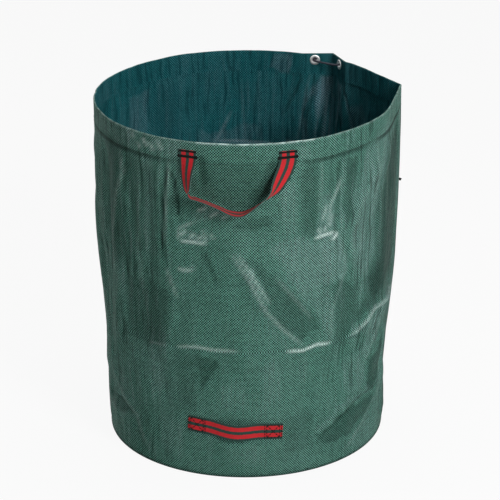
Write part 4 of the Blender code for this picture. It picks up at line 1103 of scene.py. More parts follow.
def webbing_group():
    """Ribbed webbing: its stripes across, its ribs and its fuzz."""
    group = bpy.data.node_groups.get("striped webbing")
    if group is not None:
        return group
    group, given, made = start_group("striped webbing", ("Red", "Height", "Shade"), Width=0.038)
    east, north, _ = split(group, given["Vector"])
    wobble = noise(group, given["Vector"], (120.0, 420.0, 1.0), 2.0)
    wander = maths(group, "MULTIPLY_ADD", wobble, 0.0030, -0.0015)
    share = maths(group, "DIVIDE", maths(group, "ADD", east, wander), given["Width"])
    off_middle = maths(group, "ABSOLUTE", share)
    inside = remap(group, off_middle, 0.090, 0.106)
    outside = remap(group, off_middle, 0.348, 0.364, 1.0, 0.0)
    rib = maths(group, "SINE", times(group, north, math.tau / 0.0016))
    cross = maths(group, "SINE", times(group, east, math.tau / 0.0021))
    cloth_height = maths(group, "MULTIPLY_ADD", times(group, rib, cross), 0.5, 0.5)
    fuzz = noise(group, given["Vector"], (900.0, 500.0, 1.0), 3.0)
    shade = maths(group, "MULTIPLY_ADD", cloth_height, 0.5, times(group, fuzz, 0.6))
    feed_all(group, made, Red=times(group, inside, outside), Height=cloth_height, Shade=shade)
    return group


def webbing_material(name, red, band, tired):
    """Striped webbing; tired is how greyed the face is."""
    material, tree, shader = new_material(name)
    if tree is None:
        return material
    vector = uv_map(tree)
    made = use_group(tree, webbing_group(), Vector=vector, Width=webbing().width)
    colour = mix_colours(tree, made["Red"], band, red)
    ribbed = remap(tree, made["Shade"], 0.25, 0.75, 0.45, 0.0)
    shaded = mix_colours(tree, ribbed, colour, (0.25, 0.25, 0.25), "MULTIPLY")
    dust = noise(tree, vector, (90.0, 60.0, 1.0), 4.0)
    dusty = times(tree, remap(tree, dust, 0.35, 0.75, 0.2, 1.0), tired)
    feed_all(tree, shader, Base_Color=mix_colours(tree, dusty, shaded, DUST), Roughness=0.72, Sheen_Weight=0.04,
             Specular_IOR_Level=0.25, Normal=bump(tree, made["Height"], 0.0004, 0.8))
    return material


def webbing_faces():
    """The materials of a strap: its back, its face and its edges."""
    red, band = webbing().red, webbing().band
    pale_red = tuple(0.90 * value + 0.02 for value in red)
    # The edges are painted paler: a painted highlight along the strap's folded edges
    pale_band = tuple(2.4 * value + 0.02 for value in band)
    return [
        webbing_material("webbing_back", pale_red, band, 0.06),
        webbing_material("webbing_face", red, band, 0.04),
        webbing_material("webbing_edge", pale_band, pale_band, 0.20),
    ]


def thread_material():
    """Black twisted sewing thread."""
    material, tree, shader = new_material("sewing_thread")
    if tree is None:
        return material
    twist = noise(tree, object_place(tree), (1800.0, 1800.0, 1800.0), 2.0)
    lit = mix_colours(tree, twist, (0.003, 0.004, 0.004), webbing().thread)
    feed_all(tree, shader, Base_Color=lit, Roughness=0.62, Specular_IOR_Level=0.10,
             Normal=bump(tree, twist, 0.0002, 0.6))
    return material


def cord_material():
    """Dark braided cord, on a UV map with its turn and its length in metres."""
    material, tree, shader = new_material("braided_cord")
    if tree is None:
        return material
    east, north, _ = split(tree, uv_map(tree))
    lean = times(tree, north, 1.0 / 0.0052)
    around = times(tree, east, 4.0)
    rising = maths(tree, "SINE", times(tree, maths(tree, "ADD", around, lean), math.tau))
    falling = maths(tree, "SINE", times(tree, maths(tree, "SUBTRACT", around, lean), math.tau))
    braid = maths(tree, "MULTIPLY_ADD", times(tree, rising, falling), 0.5, 0.5)
    colour = mix_colours(tree, braid, (0.003, 0.003, 0.008), (0.016, 0.018, 0.038))
    feed_all(tree, shader, Base_Color=colour, Roughness=0.55, Normal=bump(tree, braid, 0.0006, 0.9))
    return material


def eyelet_material():
    """Bright plated sheet metal with fine handling marks."""
    material, tree, shader = new_material("plated_eyelet")
    if tree is None:
        return material
    marks = noise(tree, object_place(tree), (700.0, 700.0, 700.0), 4.0)
    colour = mix_colours(tree, marks, (0.90, 0.90, 0.89), (0.97, 0.97, 0.96))
    feed_all(tree, shader, Base_Color=colour, Metallic=0.75, Roughness=remap(tree, marks, 0.3, 0.7, 0.30, 0.48),
             Normal=bump(tree, marks, 0.00008, 0.5))
    return material


def strip_material():
    """The plain pale plastic of the strip in the hem."""
    material, tree, shader = new_material("hem_strip_plastic")
    if tree is None:
        return material
    grain = noise(tree, object_place(tree), (40.0, 40.0, 900.0), 3.0)
    colour = mix_colours(tree, grain, (0.50, 0.52, 0.50), (0.66, 0.68, 0.66))
    feed_all(tree, shader, Base_Color=colour, Roughness=remap(tree, grain, 0.3, 0.7, 0.42, 0.58))
    return material


# Cloth pieces

def column_azimuths(count):
    """Azimuths round the bag, with a column on each tip and foot of a corner."""
    sizes = shape()
    steps = np.linspace(0.0, math.tau, count + 1)
    angles = steps + 0.46 * (np.cos(steps + 0.30) - math.cos(0.30))
    foot = pleat_foot_angle()
    for special in (sizes.seam_azimuth, sizes.pleat_azimuth, sizes.pleat_azimuth - foot, sizes.pleat_azimuth + foot):
        angles[np.abs(angles - special).argmin()] = special
    return angles


def rolled_cloth(name, profile, materials, second=0):
    """A sheet rolled round the bag along a profile of (inset, height) points.

    second is the step from the material of its outer face to that of its inner face.
    """
    azimuths = column_azimuths(shape().columns)
    insets = np.array([inset for inset, _ in profile])
    heights = np.array([height for _, height in profile])
    grid_azimuth, grid_height = np.meshgrid(azimuths, heights, indexing="ij")
    places, white, soil = wall_place(grid_azimuth, grid_height, insets[None, :])
    lit, shade = area_tones(grid_azimuth, grid_height)
    steps = np.hypot(np.diff(insets), np.diff(heights))
    along = np.concatenate([[0.0], np.cumsum(steps)]) + heights[0]
    lengths = np.stack(np.meshgrid(azimuths * shape().rim_radius, along, indexing="ij"), -1)
    sheet, column, row = add_sheet(name, len(azimuths) - 1, len(profile) - 1)
    lay_sheet(sheet, column, row, places, lengths)
    crease = crease_share(grid_azimuth, grid_height)
    # Pale fold marks partly painted highlight, painted shade in creases, and the painted light and shade of the areas
    paint(sheet, column, row, stress=white, soil=soil, bloom=lit, shade=shade, crease=crease)
    merge_doubles(sheet)
    for material in materials:
        sheet.data.materials.append(material)
    thicken(sheet, shape().cloth, second=second)
    smooth_by_angle(sheet, 30.0)
    return sheet


def lower_profile():
    """The wall's curled foot and its lower half, as (inset, height) points."""
    curl = shape().bottom_curl
    points = []
    for step in range(6):
        turn = 0.5 * math.pi * step / 6
        points.append((curl * (1.0 - math.sin(turn)), curl * (1.0 - math.cos(turn))))
    count = shape().rows - 20
    points += [(0.0, curl + (FOLD_HEIGHT - curl) * step / count) for step in range(count + 1)]
    return points


def upper_profile():
    """The wall from its packing fold to the hem, as (inset, height) points."""
    count = shape().rows
    top = HEM_LOW - GAP
    return [(0.0, FOLD_HEIGHT + (top - FOLD_HEIGHT) * step / count) for step in range(count + 1)]


def hem_profile():
    """Up the outside of the hem, over the mouth's edge and down the inside."""
    thick = shape().hem_thickness
    turn_radius = 0.5 * thick
    top = HEM_TOP - turn_radius
    low = HEM_LOW - GAP
    points = [(0.0, low + (top - low) * step / 8) for step in range(9)]
    for step in range(1, 6):
        turn = math.pi * step / 6
        points.append((turn_radius * (1.0 - math.cos(turn)), top + turn_radius * math.sin(turn)))
    points += [(thick, top - (top - low) * step / 8) for step in range(9)]
    return points


def make_wall():
    """The bag's wall, below and above its packing fold, with all its folds."""
    for name, node, profile in (
            ("wall_cloth_lower", "lower_wall", lower_profile()), ("wall_cloth_upper", "upper_wall", upper_profile())):
        wall = rolled_cloth(name, profile, [outside_cloth(), lining_cloth()], 1)
        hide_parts(node)
        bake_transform(wall)


def hole_cutter(side):
    """A cylinder that cuts an eyelet's hole through the hem."""
    deselect_all()
    bpy.ops.mesh.primitive_cylinder_add(vertices=40, radius=0.0071, depth=0.02)
    cutter = bpy.context.object
    cutter.data.transform(eyelet_matrix(side))
    return cutter


def cut_eyelet_holes(piece):
    """Cut both eyelets' holes out of a piece of the hem."""
    for side in (1, -1):
        cutter = hole_cutter(side)
        cut = piece.modifiers.new("hole", "BOOLEAN")
        cut.operation = "DIFFERENCE"
        cut.solver = "EXACT"
        cut.object = cutter
        apply_modifiers(piece)
        take_up(cutter)
        bpy.ops.object.delete()


def make_hem():
    """The folded hem round the mouth, and the flat strip inside it."""
    profile = hem_profile()
    hem = rolled_cloth("hem_cloth_band", profile, [hem_cloth(), lining_cloth()])
    cut_eyelet_holes(hem)
    line_inner_leg(hem)
    smooth_by_angle(hem, 30.0)
    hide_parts("rim_hem")
    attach(hem, "rim")
    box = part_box("hem_stiffener")
    middle = 0.5 * shape().hem_thickness
    profile = [(middle - 0.0006, box[0].z + (box[1].z - box[0].z) * step / 8) for step in range(9)]
    strip = rolled_cloth("hem_strip", profile, [strip_material()])
    cut_eyelet_holes(strip)
    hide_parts("hem_stiffener")
    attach(strip, "rim")


def line_inner_leg(hem):
    """Give the hem's faces that look into the bag the lining."""
    for face in hem.data.polygons:
        outward = Vector((face.center.x, face.center.y, 0.0)).normalized()
        if face.normal.dot(outward) < -0.35:
            face.material_index = 1


def make_base():
    """The two round panels of the base, the inner one a little rumpled."""
    chance = random.Random(3)
    waves = [(chance.uniform(10.0, 60.0), chance.uniform(10.0, 60.0), chance.uniform(0.0, 6.0)) for _ in range(9)]
    for name, node, low, rumple in (
            ("base_cloth_outer", "base_outer_panel", 0.0, 0.0),
            ("base_cloth_inner", "base_inner_panel", 0.0013, 0.0011)):
        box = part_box(node)
        radius = 0.5 * (box[1].x - box[0].x)
        rings, spokes = 30, 120
        turn = np.linspace(0.0, math.tau, spokes + 1)[:, None]
        reach = (radius * np.linspace(0.004, 1.0, rings + 1))[None, :]
        x, y = reach * np.cos(turn), reach * np.sin(turn)
        rise = np.zeros_like(x)
        for a, b, c in waves:
            rise += np.sin(a * x + b * y + c) / len(waves)
        puckers = np.cos(60.0 * turn) * beyond(reach / radius, 0.94, 0.06)
        rise = rumple * (1.0 + rise * (1.0 - (reach / radius) ** 8) + 0.25 * puckers)
        places = np.stack([x, y, low + shape().cloth + rise], -1)
        sheet, column, row = add_sheet(name, spokes, rings)
        lay_sheet(sheet, column, row, places, places[..., :2])
        none = np.zeros_like(x)
        paint(sheet, column, row, stress=none, soil=none, bloom=none, shade=none, crease=none)
        merge_doubles(sheet)
        close_middle(sheet)
        normals_up(sheet)
        sheet.data.materials.append(lining_cloth() if rumple else outside_cloth())
        thicken(sheet, shape().cloth)
        smooth_by_angle(sheet, 30.0)
        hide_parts(node)
        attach(sheet, "base")


def close_middle(disc):
    """Fill the small hole in the middle of a round panel."""
    with editing(disc, "DESELECT"):
        pass
    flat = coordinates(disc)
    near = np.hypot(flat[:, 0], flat[:, 1]) < 0.003
    disc.data.vertices.foreach_set("select", near)
    with editing(disc, None):
        bpy.ops.mesh.select_mode(type="VERT")
        bpy.ops.mesh.edge_face_add()


def normals_up(disc):
    """Turn a flat panel's faces upwards."""
    normals_out(disc)
    if sum(face.normal.z for face in disc.data.polygons) < 0.0:
        with editing(disc):
            bpy.ops.mesh.flip_normals()


# Stitching

def one_stitch(radius, length):
    """The places and faces of one sewn stitch along X, its ends dipping in."""
    deselect_all()
    bpy.ops.mesh.primitive_cylinder_add(
        vertices=6, radius=radius, depth=length, rotation=(0.0, 0.5 * math.pi, 0.0))
    stitch = bpy.context.object
    bpy.ops.object.transform_apply(location=False, rotation=True, scale=False)
    with editing(stitch, "DESELECT"):
        pass
    for edge in stitch.data.edges:
        a, b = (stitch.data.vertices[index].co for index in edge.vertices)
        edge.select = abs(a.x - b.x) > 0.5 * length
    with editing(stitch, None):
        bpy.ops.mesh.select_mode(type="EDGE")
        bpy.ops.mesh.subdivide(number_cuts=3)
    places = coordinates(stitch)
    bend = 1.0 - (2.0 * np.abs(places[:, 0]) / length) ** 3
    places[:, 1] *= 0.45 + 0.55 * bend
    places[:, 2] = places[:, 2] * (0.45 + 0.55 * bend) - (1.0 - bend) * radius * 0.9
    faces = [tuple(face.vertices) for face in stitch.data.polygons]
    bpy.data.objects.remove(stitch)
    return places, faces


def sew(name, runs, radius=0.00042, length=0.0042, skip=0.0008):
    """Rows of stitches as one piece. A run is a list of (point, outward normal)."""
    shape_places, shape_faces = one_stitch(radius, length)
    points, faces = [], []
    for run in runs:
        places = np.array([point for point, _ in run])
        outs = np.array([out for _, out in run])
        lengths = np.concatenate([[0.0], np.cumsum(np.linalg.norm(np.diff(places, axis=0), axis=1))])
        count = max(1, int((lengths[-1] + skip) / (length + skip)))
        pitch = lengths[-1] / count
        for index in range(count):
            middle = (index + 0.5) * pitch
            half = 0.5 * min(length, 0.9 * pitch)
            a, b, centre, out = (
                np.array([np.interp(at, lengths, values[:, axis]) for axis in range(3)])
                for at, values in ((middle - half, places), (middle + half, places), (middle, places), (middle, outs)))
            ahead = (b - a) / max(np.linalg.norm(b - a), 1e-9)
            out = out - ahead * (out @ ahead)
            out /= np.linalg.norm(out)
            side = np.cross(out, ahead)
            turned = shape_places * np.array([2.0 * half / length, 1.0, 1.0])
            start = len(points)
            points.extend(centre + turned @ np.stack([ahead, side, out]))
            faces.extend(tuple(start + number for number in face) for face in shape_faces)
    mesh = bpy.data.meshes.new(name)
    mesh.from_pydata([tuple(point) for point in points], [], faces)
    piece = bpy.data.objects.new(name, mesh)
    bpy.context.scene.collection.objects.link(piece)
    smooth_by_angle(piece, 60.0)
    return finish_piece(piece, [thread_material()])


def level_run(height, lift, count=360):
    """A level line of (point, normal) round the outside of the wall."""
    azimuths = math.tau * np.arange(count + 1) / count
    places = wall_place(azimuths, np.full(azimuths.shape, height))[0]
    run = []
    for index, place in enumerate(places):
        ahead = places[(index + 1) % count] - places[index - 1 if index else count - 1]
        out = np.array([ahead[1], -ahead[0], 0.0])
        out /= np.linalg.norm(out)
        run.append((place + out * lift, out))
    return run


def seam_line(side, lift, low, high, count=90):
    """An upright line of (point, normal) on one flank of the side seam."""
    run = []
    for step in range(count + 1):
        height = low + (high - low) * step / count
        azimuth = shape().seam_azimuth + side * 0.0065 / shape().rim_radius
        near = wall_point(azimuth, height)
        past = wall_point(azimuth + side * 0.01, height)
        ahead = (past - near).normalized()
        out = ahead.cross(UP) * side
        out = Vector((out.x, out.y, 0.0)).normalized()
        run.append((np.array(near + out * lift), np.array(out)))
    return run


def make_stitching():
    """The rows of stitching that run round the hem and the base."""
    hem = sew("hem_stitches", [level_run(HEM_LOW + 0.0025, lift=0.0004)])
    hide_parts("hem_thread")
    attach(hem, "rim")
    base = sew("base_stitches", [level_run(0.0075, lift=0.0003)])
    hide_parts("base_thread")
    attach(base, "base")


def make_side_seam():
    """The side seam's stitching and the knot that ends its thread."""
    runs = [seam_line(side, lift=0.0003, low=0.012, high=HEM_LOW - 0.002) for side in (1, -1)]
    seam = sew("seam_stitches", runs)
    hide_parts("lower_seam_thread", "upper_seam_thread")
    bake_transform(seam)
    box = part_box("seam_knot")
    middle = wall_point(shape().seam_azimuth, 0.5 * (box[0].z + box[1].z)) + radial(shape().seam_azimuth) * 0.0028
    knot = tied_knot("seam_knot_tied", middle, tangent(shape().seam_azimuth), 0.0022, 0.0011)
    finish_piece(knot, [thread_material()])
    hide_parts("seam_knot")
    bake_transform(knot)


# Cord, knots and eyelets

def swept_tube(name, points, radius, sides):
    """A closed tube along points, with its turn and its length as the UV map."""
    frames = []
    side = None
    for index, point in enumerate(points):
        ahead = (points[min(index + 1, len(points) - 1)] - points[max(index - 1, 0)]).normalized()
        if side is None:
            side = ahead.orthogonal().normalized()
        side = (side - ahead * side.dot(ahead)).normalized()
        frames.append((point, side, ahead.cross(side)))
    count = len(points)
    places = np.empty((sides + 1, count, 3))
    lengths = np.empty((sides + 1, count, 2))
    run = 0.0
    for j, (point, side, other) in enumerate(frames):
        if j:
            run += (point - points[j - 1]).length
        for i in range(sides + 1):
            turn = math.tau * i / sides
            places[i, j] = point + (side * math.cos(turn) + other * math.sin(turn)) * radius
            lengths[i, j] = (i / sides, run)
    tube, column, row = add_sheet(name, sides, count - 1)
    lay_sheet(tube, column, row, places, lengths)
    merge_doubles(tube, 0.000001)
    with editing(tube):
        bpy.ops.mesh.fill_holes(sides=sides)
    normals_out(tube)
    smooth_by_angle(tube, 60.0)
    return tube


def tied_knot(name, middle, axis, radius, thread):
    """A small overhand knot round an axis: a three-lobed closed loop."""
    side = axis.orthogonal().normalized()
    other = axis.cross(side)
    points = []
    for step in range(61):
        t = math.tau * step / 60
        flat = side * (math.sin(t) + 2.0 * math.sin(2.0 * t)) + other * (math.cos(t) - 2.0 * math.cos(2.0 * t))
        points.append(middle + flat * radius / 3.0 * 1.15 - axis * math.sin(3.0 * t) * thread * 0.95)
    return swept_tube(name, points, thread, 10)


def eyelet_frame(side):
    """An eyelet's centre on the hem's inner face, along the hem, and inwards."""
    sizes = shape()
    foot_azimuth = sizes.pleat_azimuth + side * pleat_foot_angle()
    foot = radial(foot_azimuth) * sizes.rim_radius
    tip = radial(sizes.pleat_azimuth) * (sizes.rim_radius + sizes.pleat_depth)
    along = (tip - foot).normalized()
    inward = along.cross(UP) * side
    outer = foot + along * 0.029 + UP * (HEM_TOP - 0.0155)
    return outer + inward * sizes.hem_thickness, along, inward


def eyelet_matrix(side):
    """The placing of a turned piece whose axis points into the bag."""
    centre, along, inward = eyelet_frame(side)
    turned = Matrix((along, inward.cross(along), inward)).transposed().to_4x4()
    return Matrix.Translation(centre) @ turned


def turned_ring(name, profile, matrix, steps=48):
    """A turned piece: a closed loop of (radius, height) points spun round Z."""
    mesh = bpy.data.meshes.new(name)
    points = [(radius, 0.0, height) for radius, height in profile]
    mesh.from_pydata(points, [(i, (i + 1) % len(points)) for i in range(len(points))], [])
    ring = bpy.data.objects.new(name, mesh)
    bpy.context.scene.collection.objects.link(ring)
    with editing(ring):
        bpy.ops.mesh.spin(steps=steps, angle=math.tau, center=(0, 0, 0), axis=(0, 0, 1))
    merge_doubles(ring)
    normals_out(ring)
    ring.data.transform(matrix)
    smooth_by_angle(ring, 40.0)
    return finish_piece(ring, [eyelet_material()])


def rolled_edge(inner, outer, height, rise, steps):
    """A half round from an outer to an inner radius, as (radius, height) points."""
    turns = [math.pi * step / steps for step in range(1, steps)]
    return [(0.5 * (outer + inner) + 0.5 * (outer - inner) * math.cos(turn), height + rise * math.sin(turn))
            for turn in turns]


def make_eyelets():
    """Both eyelets: a rolled flange and barrel inside, a washer outside."""
    hole, barrel, flange = EYELET_HOLE, 0.0068, 0.0120
    thick = shape().hem_thickness
    for side, word in ((1, "left"), (-1, "right")):
        place = eyelet_matrix(side)
        back = -thick - GAP - 0.0010
        profile = [(hole, back), (barrel, back), (barrel, GAP), (flange - 0.0003, GAP), (flange, 0.0007)]
        profile += [*rolled_edge(hole, flange, 0.0007, 0.0011, 8), (hole, 0.0003)]
        ring = turned_ring(f"eyelet_ring_{word}", profile, place)
        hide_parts(f"eyelet_{word}")
        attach(ring, "rim")
        inner = barrel + 0.0002
        washer_profile = [(inner, back), (inner, -thick - GAP), (flange, -thick - GAP), (flange, back + 0.0004)]
        washer_profile += rolled_edge(inner, flange, back + 0.0004, -0.0005, 6)
        washer = turned_ring(f"eyelet_back_{word}", washer_profile, place)
        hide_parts(f"eyelet_washer_{word}")
        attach(washer, "rim")


def knot_place(side):
    """The middle of a stopper knot, seated in its eyelet's hole from outside."""
    centre, _, inward = eyelet_frame(side)
    seat = math.sqrt(KNOT_REACH ** 2 - EYELET_HOLE ** 2)
    return centre - inward * (shape().hem_thickness + GAP + 0.001 + seat)


def cord_half(side):
    """The cord's points from its knot to where it runs straight across."""
    centre, _, inward = eyelet_frame(side)
    across = tangent(shape().pleat_azimuth) * -side
    stand_in, turn = 0.0115, 0.010
    return [
        knot_place(side) + inward * 0.0040,
        centre,
        centre + inward * 0.4 * stand_in,
        centre + inward * 0.75 * stand_in + across * 0.25 * turn,
        centre + inward * 0.95 * stand_in + across * 0.7 * turn,
        centre + inward * stand_in + across * 1.4 * turn,
    ]


def catmull_rom(points, pieces):
    """A smooth run through points, with so many pieces between each pair."""
    padded = [points[0] * 2.0 - points[1], *points, points[-1] * 2.0 - points[-2]]
    run = []
    for index in range(len(points) - 1):
        a, b, c, d = padded[index:index + 4]
        for piece in range(pieces):
            t = piece / pieces
            run.append(0.5 * ((2.0 * b) + (c - a) * t + (2.0 * a - 5.0 * b + 4.0 * c - d) * t * t
                              + (3.0 * b - a - 3.0 * c + d) * t * t * t))
    run.append(points[-1])
    return run


def make_tie_cord():
    """The braided cord through both eyelets, with its stopper knots."""
    for side, word in ((1, "left"), (-1, "right")):
        inward = eyelet_frame(side)[2]
        knot = tied_knot(f"cord_knot_tied_{word}", knot_place(side), inward, 0.0050, 0.0024)
        finish_piece(knot, [cord_material()])
        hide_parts(f"cord_knot_{word}")
        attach(knot, "rim")
    route = catmull_rom(cord_half(1) + cord_half(-1)[::-1], 5)
    cord = swept_tube("tie_cord_braid", route, CORD_RADIUS, 16)
    finish_piece(cord, [cord_material()])
    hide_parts("tie_cord")
    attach(cord, "rim")


# Webbing handles

# The hanging loop, from its left tab to its right tab: how far across (of half
# the spread), how far down (of the whole drop), how far its inner edge stands
# off the wall (of the stand-off), and how its width is turned outwards and
# tilted, in degrees.
LOOP_ROUTE = [
    (-1.008, 0.109, 0.4, 30, 0), (-1.021, 0.217, 0.44, 42, 0), (-1.025, 0.38, 0.6, 54, 0),
    (-1.016, 0.543, 0.88, 63, 0), (-0.984, 0.652, 1, 74, 0), (-0.923, 0.706, 1.16, 84, 4),
    (-0.838, 0.729, 1.14, 90, 9), (-0.688, 0.769, 0.96, 90, 10), (-0.518, 0.828, 0.76, 90, 10),
    (-0.339, 0.896, 0.72, 90, 8), (-0.184, 0.964, 0.72, 90, 4), (-0.028, 1, 0.7, 90, 0), (0.113, 0.991, 0.7, 90, 2),
    (0.264, 0.919, 0.76, 90, 8), (0.424, 0.814, 0.9, 92, 14), (0.565, 0.715, 1, 97, 14), (0.692, 0.606, 1, 116, 8),
    (0.782, 0.489, 0.9, 134, 3), (0.862, 0.353, 0.8, 146, 0), (0.933, 0.217, 0.6, 154, 0), (0.975, 0.109, 0.5, 159, 0),
]
LOOP_DROP = 0.1105
LOOP_STAND_OFF = 0.005
TAB_SPREAD = 0.2114
TAB_TOP = HEM_TOP - 0.0187
TAB_BOTTOM = TAB_TOP - 0.019


def front_azimuth():
    """The azimuth of the front handle's middle, from its hinge."""
    x, y, _ = FRONT_HINGE["pos_m"]
    return math.atan2(y, x)


def grip_azimuth():
    """The azimuth of the tipping handle's middle, from its hinge."""
    x, y, _ = GRIP_HINGE["pos_m"]
    return math.atan2(y, x)


def tab_angle():
    """The angle from a handle's middle to each of its tabs."""
    return math.asin(0.5 * TAB_SPREAD / shape().rim_radius)


def loop_stations(azimuth):
    """The strap's (centre, width direction) pairs from tab top to tab top."""
    out, across = radial(azimuth), tangent(azimuth)
    half = 0.5 * webbing().width
    lift = webbing().lift
    rim = shape().rim_radius
    half_spread = (rim + lift) * math.sin(tab_angle())
    top = TAB_BOTTOM - GAP
    centres = [out * (rim + lift) * math.cos(tab_angle()) - across * half_spread + UP * top]
    turns = [Vector((math.degrees(tab_angle()), 0.0))]
    for sideways, down, clear, spin, tilt in LOOP_ROUTE:
        offset = sideways * half_spread
        lean = math.sin(math.radians(spin)) * math.cos(math.radians(tilt))
        edge = offset - half * math.cos(math.radians(spin))
        away = math.sqrt(rim ** 2 - edge ** 2) + clear * LOOP_STAND_OFF + 0.001 + half * lean
        centres.append(out * away + across * offset + UP * (top - down * LOOP_DROP))
        turns.append(Vector((spin, tilt)))
    centres.append(out * (rim + lift) * math.cos(tab_angle()) + across * half_spread + UP * top)
    turns.append(Vector((180.0 - math.degrees(tab_angle()), 0.0)))
    run = catmull_rom(centres, 4)
    angles = catmull_rom(turns, 4)
    stations = []
    for centre, angle in zip(run, angles):
        spin, tilt = math.radians(angle.x), math.radians(angle.y)
        wide = (across * math.cos(spin) + out * math.sin(spin)) * math.cos(tilt) + UP * math.sin(tilt)
        stations.append((centre, wide))
    left, right = azimuth - tab_angle(), azimuth + tab_angle()
    heights = [TAB_TOP - (TAB_TOP - top) * step / 6 for step in range(6)]
    tab_left = [(radial(left) * (rim + lift) + UP * height, tangent(left)) for height in heights]
    tab_right = [(radial(right) * (rim + lift) + UP * height, -tangent(right)) for height in heights]
    return tab_left + stations + tab_right[::-1]


def strap(name, stations, strips=10):
    """A length of striped webbing through (centre, width direction) stations."""
    half = 0.5 * webbing().width
    count = len(stations)
    places = np.empty((strips + 1, count, 3))
    lengths = np.empty((strips + 1, count, 2))
    run = 0.0
    for j, (centre, wide) in enumerate(stations):
        before = stations[max(j - 1, 0)][0]
        after = stations[min(j + 1, count - 1)][0]
        ahead = (after - before).normalized()
        wide = (wide - ahead * wide.dot(ahead)).normalized()
        if j:
            run += (centre - before).length
        for i in range(strips + 1):
            across = (2.0 * i / strips - 1.0) * half
            places[i, j] = centre + wide * across
            lengths[i, j] = (across, run)
    sheet, column, row = add_sheet(name, strips, count - 1)
    lay_sheet(sheet, column, row, places, lengths)
    for material in webbing_faces():
        sheet.data.materials.append(material)
    thicken(sheet, webbing().thickness, offset=0.0, second=1, edge=2)
    smooth_by_angle(sheet, 50.0)
    return sheet


def bar_tack(azimuth, height, tall, wide, lift):
    """A zigzag run of (point, normal) across a strap."""
    count = round(wide / 0.0010)
    out = radial(azimuth)
    run = []
    for step in range(count + 1):
        sideways = wide * (step / count - 0.5)
        up = 0.5 * tall * (1 if step % 2 else -1)
        point = out * (shape().rim_radius + lift) + tangent(azimuth) * sideways + UP * (height + up)
        run.append((np.array(point), np.array(out)))
    return run


def zigzag(name, runs, radius=0.00085):
    """Zigzag satin stitches as one piece, a thread along each leg."""
    legs = []
    for run in runs:
        legs += [[a, b] for a, b in zip(run, run[1:])]
    return sew(name, legs, radius, length=0.0086, skip=0.0002)


def make_top_handles():
    """Both top handles, each one strap with its tabs and bar tacks."""
    for word, azimuth in (("front", front_azimuth()), ("back", front_azimuth() + math.pi)):
        piece = strap(f"{word}_handle_strap", loop_stations(azimuth))
        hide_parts(f"{word}_handle_loop", f"{word}_handle_tab_left", f"{word}_handle_tab_right")
        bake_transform(piece)
        lift = webbing().lift + 0.5 * webbing().thickness + 0.0002
        for side, end in ((-1, "left"), (1, "right")):
            middle = azimuth + side * tab_angle()
            runs = [bar_tack(middle, TAB_TOP - 0.0030, 0.0062, webbing().width + 0.002, lift),
                    bar_tack(middle, TAB_BOTTOM + 0.0042, 0.0084, webbing().width + 0.006, lift)]
            tacks = zigzag(f"{word}_bar_tacks_{end}", runs)
            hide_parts(f"{word}_tab_stitches_{end}")
            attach(tacks, "rim")


GRIP_LENGTH = 0.128
GRIP_END_LENGTH = 0.042
GRIP_HEIGHT = 0.1205
GRIP_SLANT = 0.009
GRIP_BOW = 0.012
GRIP_SAG = 0.002


def grip_half_angle():
    """The angle from the tipping handle's middle to where its grip ends."""
    return 0.5 * GRIP_LENGTH / float(wall_radius(GRIP_HEIGHT))


def grip_station(azimuth):
    """The (centre, width direction) of the tipping handle at an azimuth."""
    share = turn_from(azimuth, grip_azimuth()) / grip_half_angle()
    swell = math.cos(0.5 * math.pi * share) ** 2 if abs(share) < 1.0 else 0.0
    height = GRIP_HEIGHT - 0.5 * GRIP_SLANT * share - GRIP_SAG * swell
    top = GRIP_HEIGHT + 0.5 * (GRIP_SLANT + webbing().width)
    reach = float(wall_radius(top)) + webbing().lift + GRIP_BOW * swell
    return radial(azimuth) * reach + UP * height, UP


def make_tipping_handle():
    """The tipping handle, as two half straps that meet in the middle of its grip."""
    reach = float(wall_radius(GRIP_HEIGHT))
    half = grip_half_angle()
    whole = half + GRIP_END_LENGTH / reach
    for side, word in ((-1, "left"), (1, "right")):
        azimuths = [grip_azimuth() + side * whole * (1.0 - step / 30) for step in range(31)]
        stations = [grip_station(azimuth) for azimuth in azimuths]
        if side > 0:
            stations = stations[::-1]
        piece = strap(f"tipping_strap_{word}", stations)
        nodes = [f"tipping_handle_end_{word}"] + (["tipping_handle_grip"] if side < 0 else [])
        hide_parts(*nodes)
        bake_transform(piece)
        box_middle = grip_azimuth() + side * (half + 0.5 * GRIP_END_LENGTH / reach)
        stitches = sew(f"tipping_box_stitches_{word}", crossed_box(box_middle),
                       radius=0.00105, length=0.0062, skip=0.0004)
        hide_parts(f"tipping_stitches_{word}")
        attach(stitches, "base")


def crossed_box(azimuth):
    """The lines of a sewn box with two diagonals, on a tipping handle's end."""
    wide, tall = 0.0145, 0.0150

    def on_strap(sideways, up):
        angle = azimuth + sideways / float(wall_radius(GRIP_HEIGHT))
        centre, _ = grip_station(angle)
        out = radial(angle)
        point = centre + out * (0.5 * webbing().thickness + 0.0004) + UP * up
        return np.array(point), np.array(out)

    def line(a, b):
        steps = 8
        return [on_strap(a[0] + (b[0] - a[0]) * k / steps, a[1] + (b[1] - a[1]) * k / steps) for k in range(steps + 1)]

    corners = [(-wide, -tall), (wide, -tall), (wide, tall), (-wide, tall)]
    runs = [line(corners[i], corners[(i + 1) % 4]) for i in range(4)]
    runs += [line(corners[0], corners[2]), line(corners[1], corners[3])]
    outer = wide + 0.0042
    return runs + [line((-outer, -0.0175), (-outer, 0.0175)), line((outer, -0.0175), (outer, 0.0175))]


# Stage

